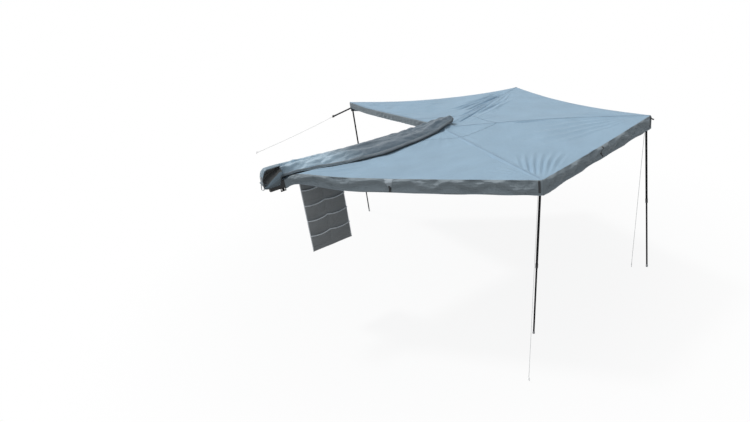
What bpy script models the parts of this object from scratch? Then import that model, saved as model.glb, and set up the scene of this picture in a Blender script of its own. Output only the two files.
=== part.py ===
"""Vehicle side awning: a mounting rail carries a hub, and four arms on legs swing round it.

Metres, +Z up. X runs forward along the mounting rail, Y outboard. The origin is the centre of the
rear rack bracket's back face. The ground is GROUND_DROP below it. The awning is open.
"""

import math

import bmesh
import bpy
from mathutils import Matrix, Vector

for old_object in list(bpy.data.objects):
    bpy.data.objects.remove(old_object, do_unlink=True)

# Clearances
TOUCH = 0.0003
RUNNING = 0.0006
SEAM_GAP = 0.0012

# Whole awning
GROUND_DROP = 1.99
HUB_X = -0.30
HUB_Y = 0.12

# Mounting rail and its brackets
RAIL_REAR = -0.17
RAIL_LENGTH = 2.44
RAIL_DEPTH = 0.040
RAIL_HEIGHT = 0.090
RAIL_TOP = 0.018
RAIL_WALL = 0.003
TRACK_WIDTH = 0.014
TRACK_HEIGHT = 0.012
TRACK_SLOT = 0.006
CAP_THICK = 0.005
CAP_SPIGOT = 0.030
BRACKET_PLATE = 0.006
BRACKET_WIDTH = 0.070
BRACKET_DROP = 0.055
BRACKET_SLOT_WIDTH = 0.009
BRACKET_SLOT_LENGTH = 0.026
BRACKET_SLOT_PITCH = 0.040
FRONT_BRACKET_SETBACK = 0.17
MIDDLE_BRACKET_SHARE = 0.4762
BOLT_SIZE = 0.008
BOLT_HEAD = 0.013
BOLT_HEAD_THICK = 0.0055

# Hub
HUB_PIN = 0.012
HUB_HEAD = 0.024
HUB_HEAD_THICK = 0.006
HUB_NUT = 0.019
HUB_NUT_THICK = 0.008
HUB_PLATE_THICK = 0.008
HUB_PLATE_RADIUS = 0.034
HUB_PLATE_GAP = 0.048
HUB_WEB = 0.035
HUB_SPIGOT = 0.090
SPACER_WIDTH = 0.022

# Arms, in the order in which they lie when stowed
ARMS = "bcde"
ARM_ANGLE = {"b": 75.0, "c": 126.5, "d": 198.0, "e": 268.0}
ARM_REACH = {"b": 2.39, "c": 2.49, "d": 2.12, "e": 2.58}
CORNER_LIFT = {"b": 0.0, "c": 0.046, "d": 0.0, "e": 0.028}
ARM_PITCH = 0.032
ARM_WIDTH = 0.026
ARM_HEIGHT = 0.040
ARM_WALL = 0.002
ARM_START = 0.080
EAR_RADIUS = 0.020
EAR_THICK = 0.007
EAR_PITCH = 0.008
EAR_REACH = 0.062
KNUCKLE_SPIGOT = 0.060
END_SPIGOT = 0.060
END_SETBACK = 0.046
END_LENGTH = 0.036
END_POST = 0.010
POST_SLACK = 0.0032

# Legs
LEG_LEAN = {"b": -0.25, "c": 0.08, "d": 0.36, "e": 0.0}
LEG_DROP = 0.040
LEG_PIN = 0.008
CHEEK_GAP = 0.0156
CHEEK_THICK = 0.0045
CHEEK_RADIUS = 0.013
TONGUE_RADIUS = 0.011
TONGUE_LENGTH = 0.045
UPPER_LENGTH = 1.00
UPPER_TUBE = 0.025
UPPER_WALL = 0.0018
LOWER_TUBE = 0.020
LOWER_WALL = 0.0015
LOWER_OVERLAP = 0.12
COLLAR_SIZE = 0.030
COLLAR_LENGTH = 0.060
COLLAR_LIP = 0.026
FOOT_SIZE = 0.028
FOOT_HEIGHT = 0.040
FOOT_SPIGOT = 0.030

# Canopy cloth
CLOTH = 0.0016
CLOTH_GAP = 0.0005
CLOTH_START = 0.030
HUB_RISE = 0.034
HUB_RISE_WIDTH = 0.12
OFFSET_RUN = 0.045
LIFT_RUN = 0.60
RAIL_RUN = 0.25
CORNER_SETBACK = 0.207
RAIL_EDGE_LIFT = 0.003
RAIL_EDGE_IN = 0.005
TUBE_REST = 0.018
EDGE_SAG = {"ab": 0.014, "bc": 0.016, "cd": 0.034, "de": 0.048}
EDGE_CUT = {"ab": 0.065, "bc": 0.005, "cd": 0.070, "de": 0.120}
EDGE_PEAK = {"ab": 0.27, "bc": 0.50, "cd": 0.50, "de": 0.38}
BELLY = 0.018
EDGE_RISE = 0.055
EDGE_RISE_SHARE = 0.06
VALANCE_DROP = 0.160
VALANCE_FRONT_DROP = 0.105
VALANCE_FRONT_RUN = 0.22
VALANCE_LIFT = {"ab": 0.0, "bc": 0.022, "cd": 0.0, "de": 0.0}
VALANCE_OUT = 0.012
VALANCE_FLARE = 0.012
VALANCE_WAVE = 0.006
SKIRT_DROP = 0.095
SKIRT_START = 0.16
SKIRT_CLEAR = 0.004
SKIRT_HEM = 0.004
CLOTH_ROWS = 12
CLOTH_COLUMNS = 14
CLOTH_SPREAD = 1.6

# Bag cover, thrown back over the rail: share of its length, ridge height, its free edge's y and z
COVER_OVERHANG = 0.070
COVER_PAST_HUB = 0.160
COVER_PROFILE = [
    (0.000, 0.075, 0.120, 0.050),
    (0.025, 0.080, 0.170, 0.050),
    (0.093, 0.080, 0.215, 0.046),
    (0.164, 0.080, 0.255, 0.042),
    (0.282, 0.085, 0.310, 0.040),
    (0.464, 0.104, 0.355, 0.042),
    (0.625, 0.128, 0.265, 0.048),
    (0.768, 0.150, 0.140, 0.064),
    (0.846, 0.162, 0.065, 0.074),
    (0.921, 0.172, 0.055, 0.076),
    (1.000, 0.176, 0.055, 0.076),
]
COVER_FALL_GAP = 0.022
COVER_FALL_RUN = 0.045
COVER_FALL_FACE = 0.053
COVER_FALL_Z = 0.010
COVER_LIP_Z = 0.170
COVER_LIP_SLOPE = 1.0
COVER_LIP_LOW = 0.045
COVER_RIDGE_Y = -0.150
COVER_FOOT_Y = 0.012
COVER_HEM_IN = 0.002
COVER_THICK = 0.004
COVER_STEPS = 26
COVER_END_STEPS = 9
PULL_LOOP_TOP = 0.140
PULL_LOOP_LENGTH = 0.160
PULL_LOOP_WIDTH = 0.036
PULL_LOOP_NECK = 0.012
PULL_LOOP_BAND = 0.025
PULL_LOOP_THICK = 0.002

# Pocket organiser under the rail
ORGANISER_SETBACK = 0.77
ORGANISER_WIDTH = 0.57
ORGANISER_TOP_HEM = 0.13
ORGANISER_ROW = 0.205
ORGANISER_ROWS = 4
ORGANISER_Y = 0.022
ORGANISER_CLOTH = 0.004
POCKET_MOUTH = 0.016
POCKET_FOOT = 0.005

# Guy lines: top point in the arm's own axes is worked out, and the foot is a ground point
ROPE = 0.004
GUY_SETBACK = 0.011
PEG_PLACE = {"b": (0.927, 2.675), "c": (-1.666, 2.039)}
PEG_SIZE = 0.008
PEG_LENGTH = 0.24
PEG_ABOVE = 0.035
PEG_TILT = {"b": 20.0, "c": 0.0}
PEG_NECK = 0.010
PEG_HEAD = 0.015
PEG_HEAD_THICK = 0.008
GUY_STRAP_LENGTH = 0.52
GUY_STRAP_WIDTH = 0.025
GUY_STRAP_THICK = 0.0025
GUY_STRAP_OUT = 0.0196
GUY_BUCKLE = (0.050, 0.034, 0.014)
GUY_HOOK_PLACE = (1.80, -1.43, 0.00)
GUY_SAG = 0.012
HOOK_WIRE = 0.006
HOOK_RADIUS = 0.014
ROPE_POINTS = 12

ROUND = 16
HUB = Vector((HUB_X, HUB_Y, 0.0))
RAIL_BACK = BRACKET_PLATE + TOUCH
RAIL_FRONT_Y = RAIL_BACK + RAIL_DEPTH
RAIL_BOTTOM = RAIL_TOP - RAIL_HEIGHT
RAIL_END = RAIL_REAR + RAIL_LENGTH
FRONT_BRACKET_X = RAIL_END - FRONT_BRACKET_SETBACK
BRACKET_PLACES = {
    "rear": 0.0,
    "middle": FRONT_BRACKET_X * MIDDLE_BRACKET_SHARE,
    "front": FRONT_BRACKET_X,
}
RAIL_REACH = RAIL_END - HUB_X - CORNER_SETBACK
COVER_START = HUB_X - COVER_PAST_HUB
COVER_END = RAIL_END + COVER_OVERHANG
COVER_FALL_START = HUB_X + RAIL_REACH + COVER_FALL_GAP
ORGANISER_START = FRONT_BRACKET_X - ORGANISER_SETBACK
CLOTH_UNDER = ARM_HEIGHT / 2 + CLOTH_GAP


def make_finish(name, colour, roughness, metallic):
    finish = bpy.data.materials.new(name)
    finish.use_nodes = True
    shader = finish.node_tree.nodes["Principled BSDF"]
    shader.inputs["Base Color"].default_value = (*colour, 1.0)
    shader.inputs["Roughness"].default_value = roughness
    shader.inputs["Metallic"].default_value = metallic
    return finish


ALUMINIUM = make_finish("rail_aluminium", (0.030, 0.031, 0.033), 0.45, 0.8)
BLACK_METAL = make_finish("black_painted_metal", (0.016, 0.016, 0.018), 0.5, 0.3)
STEEL = make_finish("bright_steel", (0.55, 0.56, 0.57), 0.3, 1.0)
BLACK_PLASTIC = make_finish("black_plastic", (0.02, 0.02, 0.022), 0.55, 0.0)
GREY_RUBBER = make_finish("grey_rubber", (0.40, 0.41, 0.42), 0.8, 0.0)
CANVAS = make_finish("canopy_canvas", (0.30, 0.40, 0.46), 0.8, 0.0)
COVER_CLOTH = make_finish("cover_pvc", (0.10, 0.13, 0.16), 0.55, 0.0)
ORGANISER_FABRIC = make_finish("organiser_fabric", (0.035, 0.045, 0.055), 0.8, 0.0)
WEBBING = make_finish("black_webbing", (0.015, 0.015, 0.017), 0.8, 0.0)
CORD = make_finish("pale_cord", (0.70, 0.70, 0.68), 0.7, 0.0)


def as_solid(bm, name, finish, parent=None, cuts=(), joins=()):
    """Turns a closed bmesh into a named object and lets other meshes cut it or join it."""
    bmesh.ops.recalc_face_normals(bm, faces=bm.faces)
    mesh = bpy.data.meshes.new(name)
    bm.to_mesh(mesh)
    bm.free()
    mesh.materials.append(finish)
    mesh.shade_smooth()
    mesh.set_sharp_from_angle(angle=math.radians(35))
    solid = bpy.data.objects.new(name, mesh)
    bpy.context.collection.objects.link(solid)
    solid.parent = parent
    for operation, others in (("UNION", joins), ("DIFFERENCE", cuts)):
        for number, other in enumerate(others):
            helper_name = f"{name}_{operation.lower()}_{number}"
            bmesh.ops.recalc_face_normals(other, faces=other.faces)
            helper_mesh = bpy.data.meshes.new(helper_name)
            other.to_mesh(helper_mesh)
            other.free()
            helper = bpy.data.objects.new(helper_name, helper_mesh)
            bpy.context.collection.objects.link(helper)
            helper.parent = parent
            helper.hide_render = True
            helper.display_type = "WIRE"
            modifier = solid.modifiers.new(helper_name, "BOOLEAN")
            modifier.operation = operation
            modifier.object = helper
    return solid


def make_axis(name, parent, matrix):
    """An empty that stands on a joint's axis and carries what moves with it."""
    axis = bpy.data.objects.new(name, None)
    bpy.context.collection.objects.link(axis)
    axis.parent = parent
    axis.matrix_local = matrix
    return axis


def box_mesh(low, high):
    bm = bmesh.new()
    bmesh.ops.create_cube(bm, size=1.0)
    low, high = Vector(low), Vector(high)
    for vert in bm.verts:
        share = vert.co + Vector((0.5, 0.5, 0.5))
        vert.co = Vector(a + (b - a) * f for a, b, f in zip(low, high, share))
    return bm


def prism_mesh(outline, low, high, axis="z"):
    """Extrudes a closed outline of (u, v) pairs along x, y or z."""
    place = {
        "x": lambda u, v, w: (w, u, v),
        "y": lambda u, v, w: (u, w, v),
        "z": lambda u, v, w: (u, v, w),
    }[axis]
    bm = bmesh.new()
    lower = [bm.verts.new(place(u, v, low)) for u, v in outline]
    upper = [bm.verts.new(place(u, v, high)) for u, v in outline]
    bm.faces.new(lower)
    bm.faces.new(upper)
    for i in range(len(outline)):
        j = (i + 1) % len(outline)
        bm.faces.new((lower[i], lower[j], upper[j], upper[i]))
    return bm


def turned_mesh(profile, segments=ROUND, along="z", centre=(0.0, 0.0)):
    """Spins a closed loop of (radius, height) pairs; radius 0 closes the solid on its axis."""
    place = {
        "x": lambda a, b, h: (h, centre[0] + a, centre[1] + b),
        "y": lambda a, b, h: (centre[0] + a, h, centre[1] + b),
        "z": lambda a, b, h: (centre[0] + a, centre[1] + b, h),
    }[along]
    bm = bmesh.new()
    rings = []
    for radius, height in profile:
        if radius == 0.0:
            rings.append([bm.verts.new(place(0.0, 0.0, height))] * segments)
            continue
        ring = []
        for i in range(segments):
            turn = 2 * math.pi * i / segments
            ring.append(
                bm.verts.new(place(radius * math.cos(turn), radius * math.sin(turn), height))
            )
        rings.append(ring)
    for first, second in zip(rings, rings[1:] + rings[:1]):
        for i in range(segments):
            j = (i + 1) % segments
            corners = []
            for vert in (first[i], first[j], second[j], second[i]):
                if vert not in corners:
                    corners.append(vert)
            if len(corners) > 2:
                bm.faces.new(corners)
    return bm


def rod_mesh(radius, low, high, along="z", centre=(0.0, 0.0), segments=ROUND):
    return turned_mesh([(0.0, low), (radius, low), (radius, high), (0.0, high)], segments, along, centre)


def ring_mesh(outer, inner, low, high, along="z", centre=(0.0, 0.0), segments=ROUND):
    loop = [(inner, low), (outer, low), (outer, high), (inner, high)]
    return turned_mesh(loop, segments, along, centre)


def hull_outline(points):
    """The convex outline round a set of (u, v) points, anticlockwise."""
    ordered = sorted(set((round(u, 7), round(v, 7)) for u, v in points))

    def half(line):
        kept = []
        for p in line:
            while len(kept) > 1:
                (ax, ay), (bx, by) = kept[-2:]
                if (bx - ax) * (p[1] - ay) - (by - ay) * (p[0] - ax) > 1e-10:
                    break
                kept.pop()
            kept.append(p)
        return kept[:-1]

    return half(ordered) + half(ordered[::-1])


def circle_points(radius, centre=(0.0, 0.0), count=ROUND):
    return [
        (
            centre[0] + radius * math.cos(2 * math.pi * i / count),
            centre[1] + radius * math.sin(2 * math.pi * i / count),
        )
        for i in range(count)
    ]


def sheet_mesh(grid, thickness):
    """A closed sheet: grid is its upper face, row by row, and the lower face lies under it."""
    rows, columns = len(grid), len(grid[0])
    lower = []
    for i in range(rows):
        line = []
        for j in range(columns):
            down = grid[min(i + 1, rows - 1)][j] - grid[max(i - 1, 0)][j]
            across = grid[i][min(j + 1, columns - 1)] - grid[i][max(j - 1, 0)]
            line.append(grid[i][j] - down.cross(across).normalized() * thickness)
        lower.append(line)
    bm = bmesh.new()
    top = [[bm.verts.new(p) for p in line] for line in grid]
    base = [[bm.verts.new(p) for p in line] for line in lower]
    for i in range(rows - 1):
        for j in range(columns - 1):
            bm.faces.new((top[i][j], top[i + 1][j], top[i + 1][j + 1], top[i][j + 1]))
            bm.faces.new((base[i][j], base[i][j + 1], base[i + 1][j + 1], base[i + 1][j]))
    rim = [(0, j) for j in range(columns)]
    rim += [(i, columns - 1) for i in range(1, rows)]
    rim += [(rows - 1, j) for j in range(columns - 2, -1, -1)]
    rim += [(i, 0) for i in range(rows - 2, 0, -1)]
    for (i, j), (k, m) in zip(rim, rim[1:] + rim[:1]):
        bm.faces.new((top[i][j], top[k][m], base[k][m], base[i][j]))
    return bm


def smooth_step(value):
    value = min(1.0, max(0.0, value))
    return value * value * (3 - 2 * value)


def rope_object(name, points, diameter, finish, parent=None):
    curve = bpy.data.curves.new(name, "CURVE")
    curve.dimensions = "3D"
    curve.bevel_depth = diameter / 2
    curve.bevel_resolution = 2
    curve.use_fill_caps = True
    curve.resolution_u = 1
    curve.render_resolution_u = 0
    spline = curve.splines.new("POLY")
    spline.points.add(len(points) - 1)
    for target, point in zip(spline.points, points):
        target.co = (*point, 1.0)
    curve.materials.append(finish)
    rope = bpy.data.objects.new(name, curve)
    bpy.context.collection.objects.link(rope)
    rope.parent = parent
    return rope


# Rail and brackets
def rail_outline():
    """The rail's section in (y, z), with the cloth track standing on its outboard top edge."""
    slot_low = RAIL_TOP + (TRACK_HEIGHT - TRACK_SLOT) / 2
    slot_back = RAIL_FRONT_Y - TRACK_WIDTH * 0.6
    return [
        (RAIL_BACK, RAIL_BOTTOM),
        (RAIL_FRONT_Y, RAIL_BOTTOM),
        (RAIL_FRONT_Y, slot_low),
        (slot_back, slot_low),
        (slot_back, slot_low + TRACK_SLOT),
        (RAIL_FRONT_Y, slot_low + TRACK_SLOT),
        (RAIL_FRONT_Y, RAIL_TOP + TRACK_HEIGHT),
        (RAIL_FRONT_Y - TRACK_WIDTH, RAIL_TOP + TRACK_HEIGHT),
        (RAIL_FRONT_Y - TRACK_WIDTH, RAIL_TOP),
        (RAIL_BACK, RAIL_TOP),
    ]


def rail_bore(clearance=0.0):
    """Lowest and highest (y, z) of the rail's hollow, or of what fits it with a clearance."""
    inset = RAIL_WALL + clearance
    low = (RAIL_BACK + inset, RAIL_BOTTOM + inset)
    high = (RAIL_FRONT_Y - inset, RAIL_TOP - inset)
    return low, high


def make_rail():
    past = 0.01
    low, high = rail_bore()
    hollow = box_mesh((RAIL_REAR - past, *low), (RAIL_END + past, *high))
    holes = [hollow]
    middle_y = (RAIL_BACK + RAIL_FRONT_Y) / 2
    for place in BRACKET_PLACES.values():
        holes.append(
            rod_mesh(
                BOLT_SIZE / 2 + RUNNING,
                RAIL_BOTTOM - past,
                RAIL_BOTTOM + past,
                centre=(place, middle_y),
            )
        )
    cross_x = RAIL_REAR + HUB_SPIGOT / 2
    cross_z = (RAIL_TOP + RAIL_BOTTOM) / 2
    holes.append(
        rod_mesh(
            BOLT_SIZE / 2 + RUNNING,
            RAIL_BACK - past,
            RAIL_FRONT_Y + past,
            along="y",
            centre=(cross_x, cross_z),
        )
    )
    as_solid(
        prism_mesh(rail_outline(), RAIL_REAR, RAIL_END, axis="x"),
        "mounting_rail",
        ALUMINIUM,
        cuts=holes,
    )


def make_rail_cap():
    low, high = rail_bore(TOUCH)
    start = RAIL_END + TOUCH
    plate = box_mesh(
        (start, RAIL_BACK, RAIL_BOTTOM), (start + CAP_THICK, RAIL_FRONT_Y, RAIL_TOP + TRACK_HEIGHT)
    )
    spigot = box_mesh((RAIL_END - CAP_SPIGOT, *low), (start + CAP_THICK / 2, *high))
    as_solid(plate, "rail_cap_front", BLACK_PLASTIC, joins=[spigot])


def make_bracket(name, place):
    """An angle: its back plate bolts to the rack, and its shelf carries the rail."""
    shelf_top = RAIL_BOTTOM - TOUCH
    shelf_low = shelf_top - BRACKET_PLATE
    low_z = RAIL_BOTTOM - BRACKET_DROP
    half = BRACKET_WIDTH / 2
    profile = [
        (0.0, low_z),
        (BRACKET_PLATE, low_z),
        (BRACKET_PLATE, shelf_low),
        (RAIL_FRONT_Y, shelf_low),
        (RAIL_FRONT_Y, shelf_top),
        (BRACKET_PLATE, shelf_top),
        (BRACKET_PLATE, RAIL_TOP),
        (0.0, RAIL_TOP),
    ]
    past = 0.01
    cuts = []
    slot_z = (low_z + shelf_low) / 2
    run = (BRACKET_SLOT_LENGTH - BRACKET_SLOT_WIDTH) / 2
    for side in (-1, 1):
        centre_x = place + side * BRACKET_SLOT_PITCH / 2
        ends = circle_points(BRACKET_SLOT_WIDTH / 2, (centre_x, slot_z - run), 16)
        ends += circle_points(BRACKET_SLOT_WIDTH / 2, (centre_x, slot_z + run), 16)
        cuts.append(prism_mesh(hull_outline(ends), -past, BRACKET_PLATE + past, axis="y"))
    middle_y = (RAIL_BACK + RAIL_FRONT_Y) / 2
    cuts.append(
        rod_mesh(BOLT_SIZE / 2 + RUNNING, shelf_low - past, shelf_top + past / 2, centre=(place, middle_y))
    )
    as_solid(
        prism_mesh(profile, place - half, place + half, axis="x"),
        f"rack_bracket_{name}",
        BLACK_METAL,
        cuts=cuts,
    )
    low = shelf_low - TOUCH
    inside = RAIL_BOTTOM + RAIL_WALL + TOUCH
    bolt_loop = [
        (0.0, low - BOLT_HEAD_THICK),
        (BOLT_HEAD / 2, low - BOLT_HEAD_THICK),
        (BOLT_HEAD / 2, low),
        (BOLT_SIZE / 2, low),
        (BOLT_SIZE / 2, inside),
        (BOLT_HEAD / 2, inside),
        (BOLT_HEAD / 2, inside + BOLT_HEAD_THICK),
        (0.0, inside + BOLT_HEAD_THICK),
    ]
    as_solid(
        turned_mesh(bolt_loop, 12, centre=(place, middle_y)), f"bracket_bolt_{name}", STEEL
    )


# Hub
def ear_level(index):
    return (index - (len(ARMS) - 1) / 2) * EAR_PITCH


def arm_offset(index):
    return (index - (len(ARMS) - 1) / 2) * ARM_PITCH


def make_hub():
    web_high = RAIL_REAR - TOUCH
    web_low = web_high - HUB_WEB
    plate_low = HUB_PLATE_GAP / 2
    plate_high = plate_low + HUB_PLATE_THICK
    web = box_mesh((web_low, RAIL_BACK, RAIL_BOTTOM), (web_high, RAIL_FRONT_Y, plate_high))
    outline = hull_outline(
        circle_points(HUB_PLATE_RADIUS, (HUB_X, HUB_Y))
        + [(x, y) for x in (web_low, web_high) for y in (RAIL_BACK, RAIL_FRONT_Y)]
    )
    low, high = rail_bore(TOUCH)
    spigot = box_mesh((web_low + HUB_WEB / 2, *low), (RAIL_REAR + HUB_SPIGOT, *high))
    top = prism_mesh(outline, plate_low, plate_high)
    bottom = prism_mesh(outline, -plate_high, -plate_low)
    past = 0.01
    bore = rod_mesh(HUB_PIN / 2 + RUNNING, -plate_high - past, plate_high + past, centre=(HUB_X, HUB_Y))
    cross_x = RAIL_REAR + HUB_SPIGOT / 2
    cross_z = (RAIL_TOP + RAIL_BOTTOM) / 2
    cross = rod_mesh(
        BOLT_SIZE / 2 + RUNNING, 0.0, RAIL_FRONT_Y + past, along="y", centre=(cross_x, cross_z)
    )
    as_solid(web, "hub_bracket", BLACK_METAL, joins=[spigot, top, bottom], cuts=[bore, cross])

    outside = RAIL_FRONT_Y + TOUCH
    inside = RAIL_BACK - TOUCH
    bolt_loop = [
        (0.0, inside - BRACKET_PLATE * 0.6),
        (BOLT_HEAD / 2, inside - BRACKET_PLATE * 0.6),
        (BOLT_HEAD / 2, inside),
        (BOLT_SIZE / 2, inside),
        (BOLT_SIZE / 2, outside),
        (BOLT_HEAD / 2, outside),
        (BOLT_HEAD / 2, outside + BOLT_HEAD_THICK),
        (0.0, outside + BOLT_HEAD_THICK),
    ]
    as_solid(
        turned_mesh(bolt_loop, 12, along="y", centre=(cross_x, cross_z)), "hub_bracket_bolt", STEEL
    )

    head = plate_high + TOUCH
    pin_loop = [
        (0.0, -head - HUB_HEAD_THICK),
        (HUB_HEAD / 2, -head - HUB_HEAD_THICK),
        (HUB_HEAD / 2, -head),
        (HUB_PIN / 2, -head),
        (HUB_PIN / 2, head + HUB_NUT_THICK + 0.002),
        (0.0, head + HUB_NUT_THICK + 0.002),
    ]
    as_solid(turned_mesh(pin_loop, centre=(HUB_X, HUB_Y)), "hub_pin", STEEL)
    nut_corner = HUB_NUT / 2 / math.cos(math.pi / 6)
    nut = prism_mesh(circle_points(nut_corner, (HUB_X, HUB_Y), 6), head, head + HUB_NUT_THICK)
    nut_bore = rod_mesh(HUB_PIN / 2 + TOUCH, 0.0, head + HUB_NUT_THICK + past, centre=(HUB_X, HUB_Y))
    as_solid(nut, "hub_nut", STEEL, cuts=[nut_bore])

    ear_edge = ear_level(len(ARMS) - 1) + EAR_THICK / 2 + TOUCH
    for side, name in ((1, "top"), (-1, "bottom")):
        low, high = sorted((side * ear_edge, side * (plate_low - TOUCH)))
        as_solid(
            ring_mesh(SPACER_WIDTH / 2, HUB_PIN / 2 + RUNNING, low, high, centre=(HUB_X, HUB_Y)),
            f"hub_spacer_{name}",
            BLACK_PLASTIC,
        )


# Arms and legs
def arm_matrix(key):
    return Matrix.Translation(HUB) @ Matrix.Rotation(math.radians(ARM_ANGLE[key]), 4, "Z")


def make_arm(index, key):
    """One arm in its own axes: x runs out from the hub, y to its left, z up."""
    axis = make_axis(f"arm_{key}_axis", None, arm_matrix(key))
    side = arm_offset(index)
    level = ear_level(index)
    half_width = ARM_WIDTH / 2
    half_height = ARM_HEIGHT / 2
    tube_end = ARM_REACH[key] - END_SETBACK
    bore_y = half_width - ARM_WALL
    bore_z = half_height - ARM_WALL

    ear = hull_outline(
        circle_points(EAR_RADIUS)
        + [(x, side + y) for x in (EAR_REACH, EAR_REACH + 0.004) for y in (-half_width, half_width)]
    )
    ear_plate = prism_mesh(ear, level - EAR_THICK / 2, level + EAR_THICK / 2)
    shoulder = box_mesh(
        (EAR_REACH, side - half_width, -half_height + ARM_WALL),
        (ARM_START - TOUCH, side + half_width, half_height - ARM_WALL),
    )
    spigot = box_mesh(
        (EAR_REACH + 0.004, side - bore_y + TOUCH, -bore_z + TOUCH),
        (ARM_START + KNUCKLE_SPIGOT, side + bore_y - TOUCH, bore_z - TOUCH),
    )
    bore = rod_mesh(HUB_PIN / 2 + RUNNING, level - EAR_THICK, level + EAR_THICK)
    as_solid(
        ear_plate, f"arm_{key}_knuckle", BLACK_METAL, axis, joins=[shoulder, spigot], cuts=[bore]
    )

    tube = box_mesh((ARM_START, side - half_width, -half_height), (tube_end, side + half_width, half_height))
    hollow = box_mesh((0.0, side - bore_y, -bore_z), (ARM_REACH[key] + 0.1, side + bore_y, bore_z))
    as_solid(tube, f"arm_{key}_tube", ALUMINIUM, axis, cuts=[hollow])

    pivot_x = tube_end + END_LENGTH / 2
    outer = CHEEK_GAP / 2 + CHEEK_THICK
    block = box_mesh(
        (tube_end + TOUCH, side - outer, -half_height),
        (tube_end + END_LENGTH, side + outer, half_height - ARM_WALL),
    )
    plug = box_mesh(
        (tube_end - END_SPIGOT, side - bore_y + TOUCH, -bore_z + TOUCH),
        (tube_end + TOUCH * 2, side + bore_y - TOUCH, bore_z - TOUCH),
    )
    joins = [plug]
    cheek = hull_outline(
        circle_points(CHEEK_RADIUS, (pivot_x, -LEG_DROP), 16)
        + [(pivot_x - CHEEK_RADIUS, -half_height + 0.002), (pivot_x + CHEEK_RADIUS, -half_height + 0.002)]
    )
    for sign in (-1, 1):
        near, far = sorted((side + sign * CHEEK_GAP / 2, side + sign * outer))
        joins.append(prism_mesh(cheek, near, far, axis="y"))
    post_top = half_height + CORNER_LIFT[key] - POST_SLACK
    if CORNER_LIFT[key] > 0.0:
        joins.append(rod_mesh(END_POST / 2, 0.0, post_top, centre=(pivot_x, side), segments=12))
    pin_hole = rod_mesh(
        LEG_PIN / 2 + TOUCH, side - outer - 0.01, side + outer + 0.01, "y", (pivot_x, -LEG_DROP), 16
    )
    as_solid(block, f"arm_{key}_end", BLACK_METAL, axis, joins=joins, cuts=[pin_hole])
    as_solid(
        rod_mesh(LEG_PIN / 2, side - outer, side + outer, "y", (pivot_x, -LEG_DROP), 16),
        f"leg_{key}_pin",
        STEEL,
        axis,
    )
    make_leg(key, axis, Vector((pivot_x, side, -LEG_DROP)))


def leg_lean_angle(key):
    return math.atan2(LEG_LEAN[key], GROUND_DROP - LEG_DROP)


def make_leg(key, arm_axis, pivot):
    """One leg in its own axes: the pin is at the origin and the leg hangs along -z."""
    lean = Matrix.Rotation(-leg_lean_angle(key), 4, "Y")
    axis = make_axis(f"leg_{key}_axis", arm_axis, Matrix.Translation(pivot) @ lean)
    length = math.hypot(LEG_LEAN[key], GROUND_DROP - LEG_DROP)

    tongue_half = CHEEK_GAP / 2 - RUNNING
    tongue_outline = hull_outline(
        circle_points(TONGUE_RADIUS, count=16)
        + [(-TONGUE_RADIUS, -TONGUE_LENGTH), (TONGUE_RADIUS, -TONGUE_LENGTH)]
    )
    tube_top = -(TONGUE_LENGTH - 0.006)
    bore = LOWER_TUBE / 2 + RUNNING
    tube = rod_mesh(UPPER_TUBE / 2, -UPPER_LENGTH, tube_top)
    bore_cut = rod_mesh(bore, -UPPER_LENGTH - 0.01, tube_top - 0.020)
    pin_hole = rod_mesh(LEG_PIN / 2 + RUNNING, -0.02, 0.02, "y", segments=16)
    tongue = prism_mesh(tongue_outline, -tongue_half, tongue_half, axis="y")
    as_solid(
        tube, f"leg_{key}_upper", BLACK_METAL, axis, joins=[tongue], cuts=[bore_cut, pin_hole]
    )

    lower_top = -(UPPER_LENGTH - LOWER_OVERLAP)
    foot_top = -(length - FOOT_HEIGHT)
    as_solid(
        ring_mesh(LOWER_TUBE / 2, LOWER_TUBE / 2 - LOWER_WALL, foot_top + TOUCH, lower_top),
        f"leg_{key}_lower",
        BLACK_METAL,
        axis,
    )

    seat = -UPPER_LENGTH - TOUCH
    collar_top = -UPPER_LENGTH + COLLAR_LENGTH - COLLAR_LIP
    collar_loop = [
        (UPPER_TUBE / 2 + TOUCH, collar_top),
        (UPPER_TUBE / 2 + TOUCH, seat),
        (LOWER_TUBE / 2 + RUNNING, seat),
        (LOWER_TUBE / 2 + RUNNING, seat - COLLAR_LIP),
        (COLLAR_SIZE / 2 - 0.002, seat - COLLAR_LIP),
        (COLLAR_SIZE / 2, seat - COLLAR_LIP + 0.004),
        (COLLAR_SIZE / 2, collar_top - 0.003),
        (COLLAR_SIZE / 2 - 0.0015, collar_top),
    ]
    as_solid(turned_mesh(collar_loop), f"leg_{key}_collar", BLACK_PLASTIC, axis)

    spigot = LOWER_TUBE / 2 - LOWER_WALL - TOUCH
    foot_loop = [
        (0.0, -length),
        (FOOT_SIZE / 2 - 0.003, -length),
        (FOOT_SIZE / 2, -length + 0.003),
        (FOOT_SIZE / 2 - 0.001, -length + 0.014),
        (LOWER_TUBE / 2, foot_top),
        (spigot, foot_top),
        (spigot, foot_top + FOOT_SPIGOT),
        (0.0, foot_top + FOOT_SPIGOT),
    ]
    as_solid(turned_mesh(foot_loop), f"leg_{key}_foot", GREY_RUBBER, axis)


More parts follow.
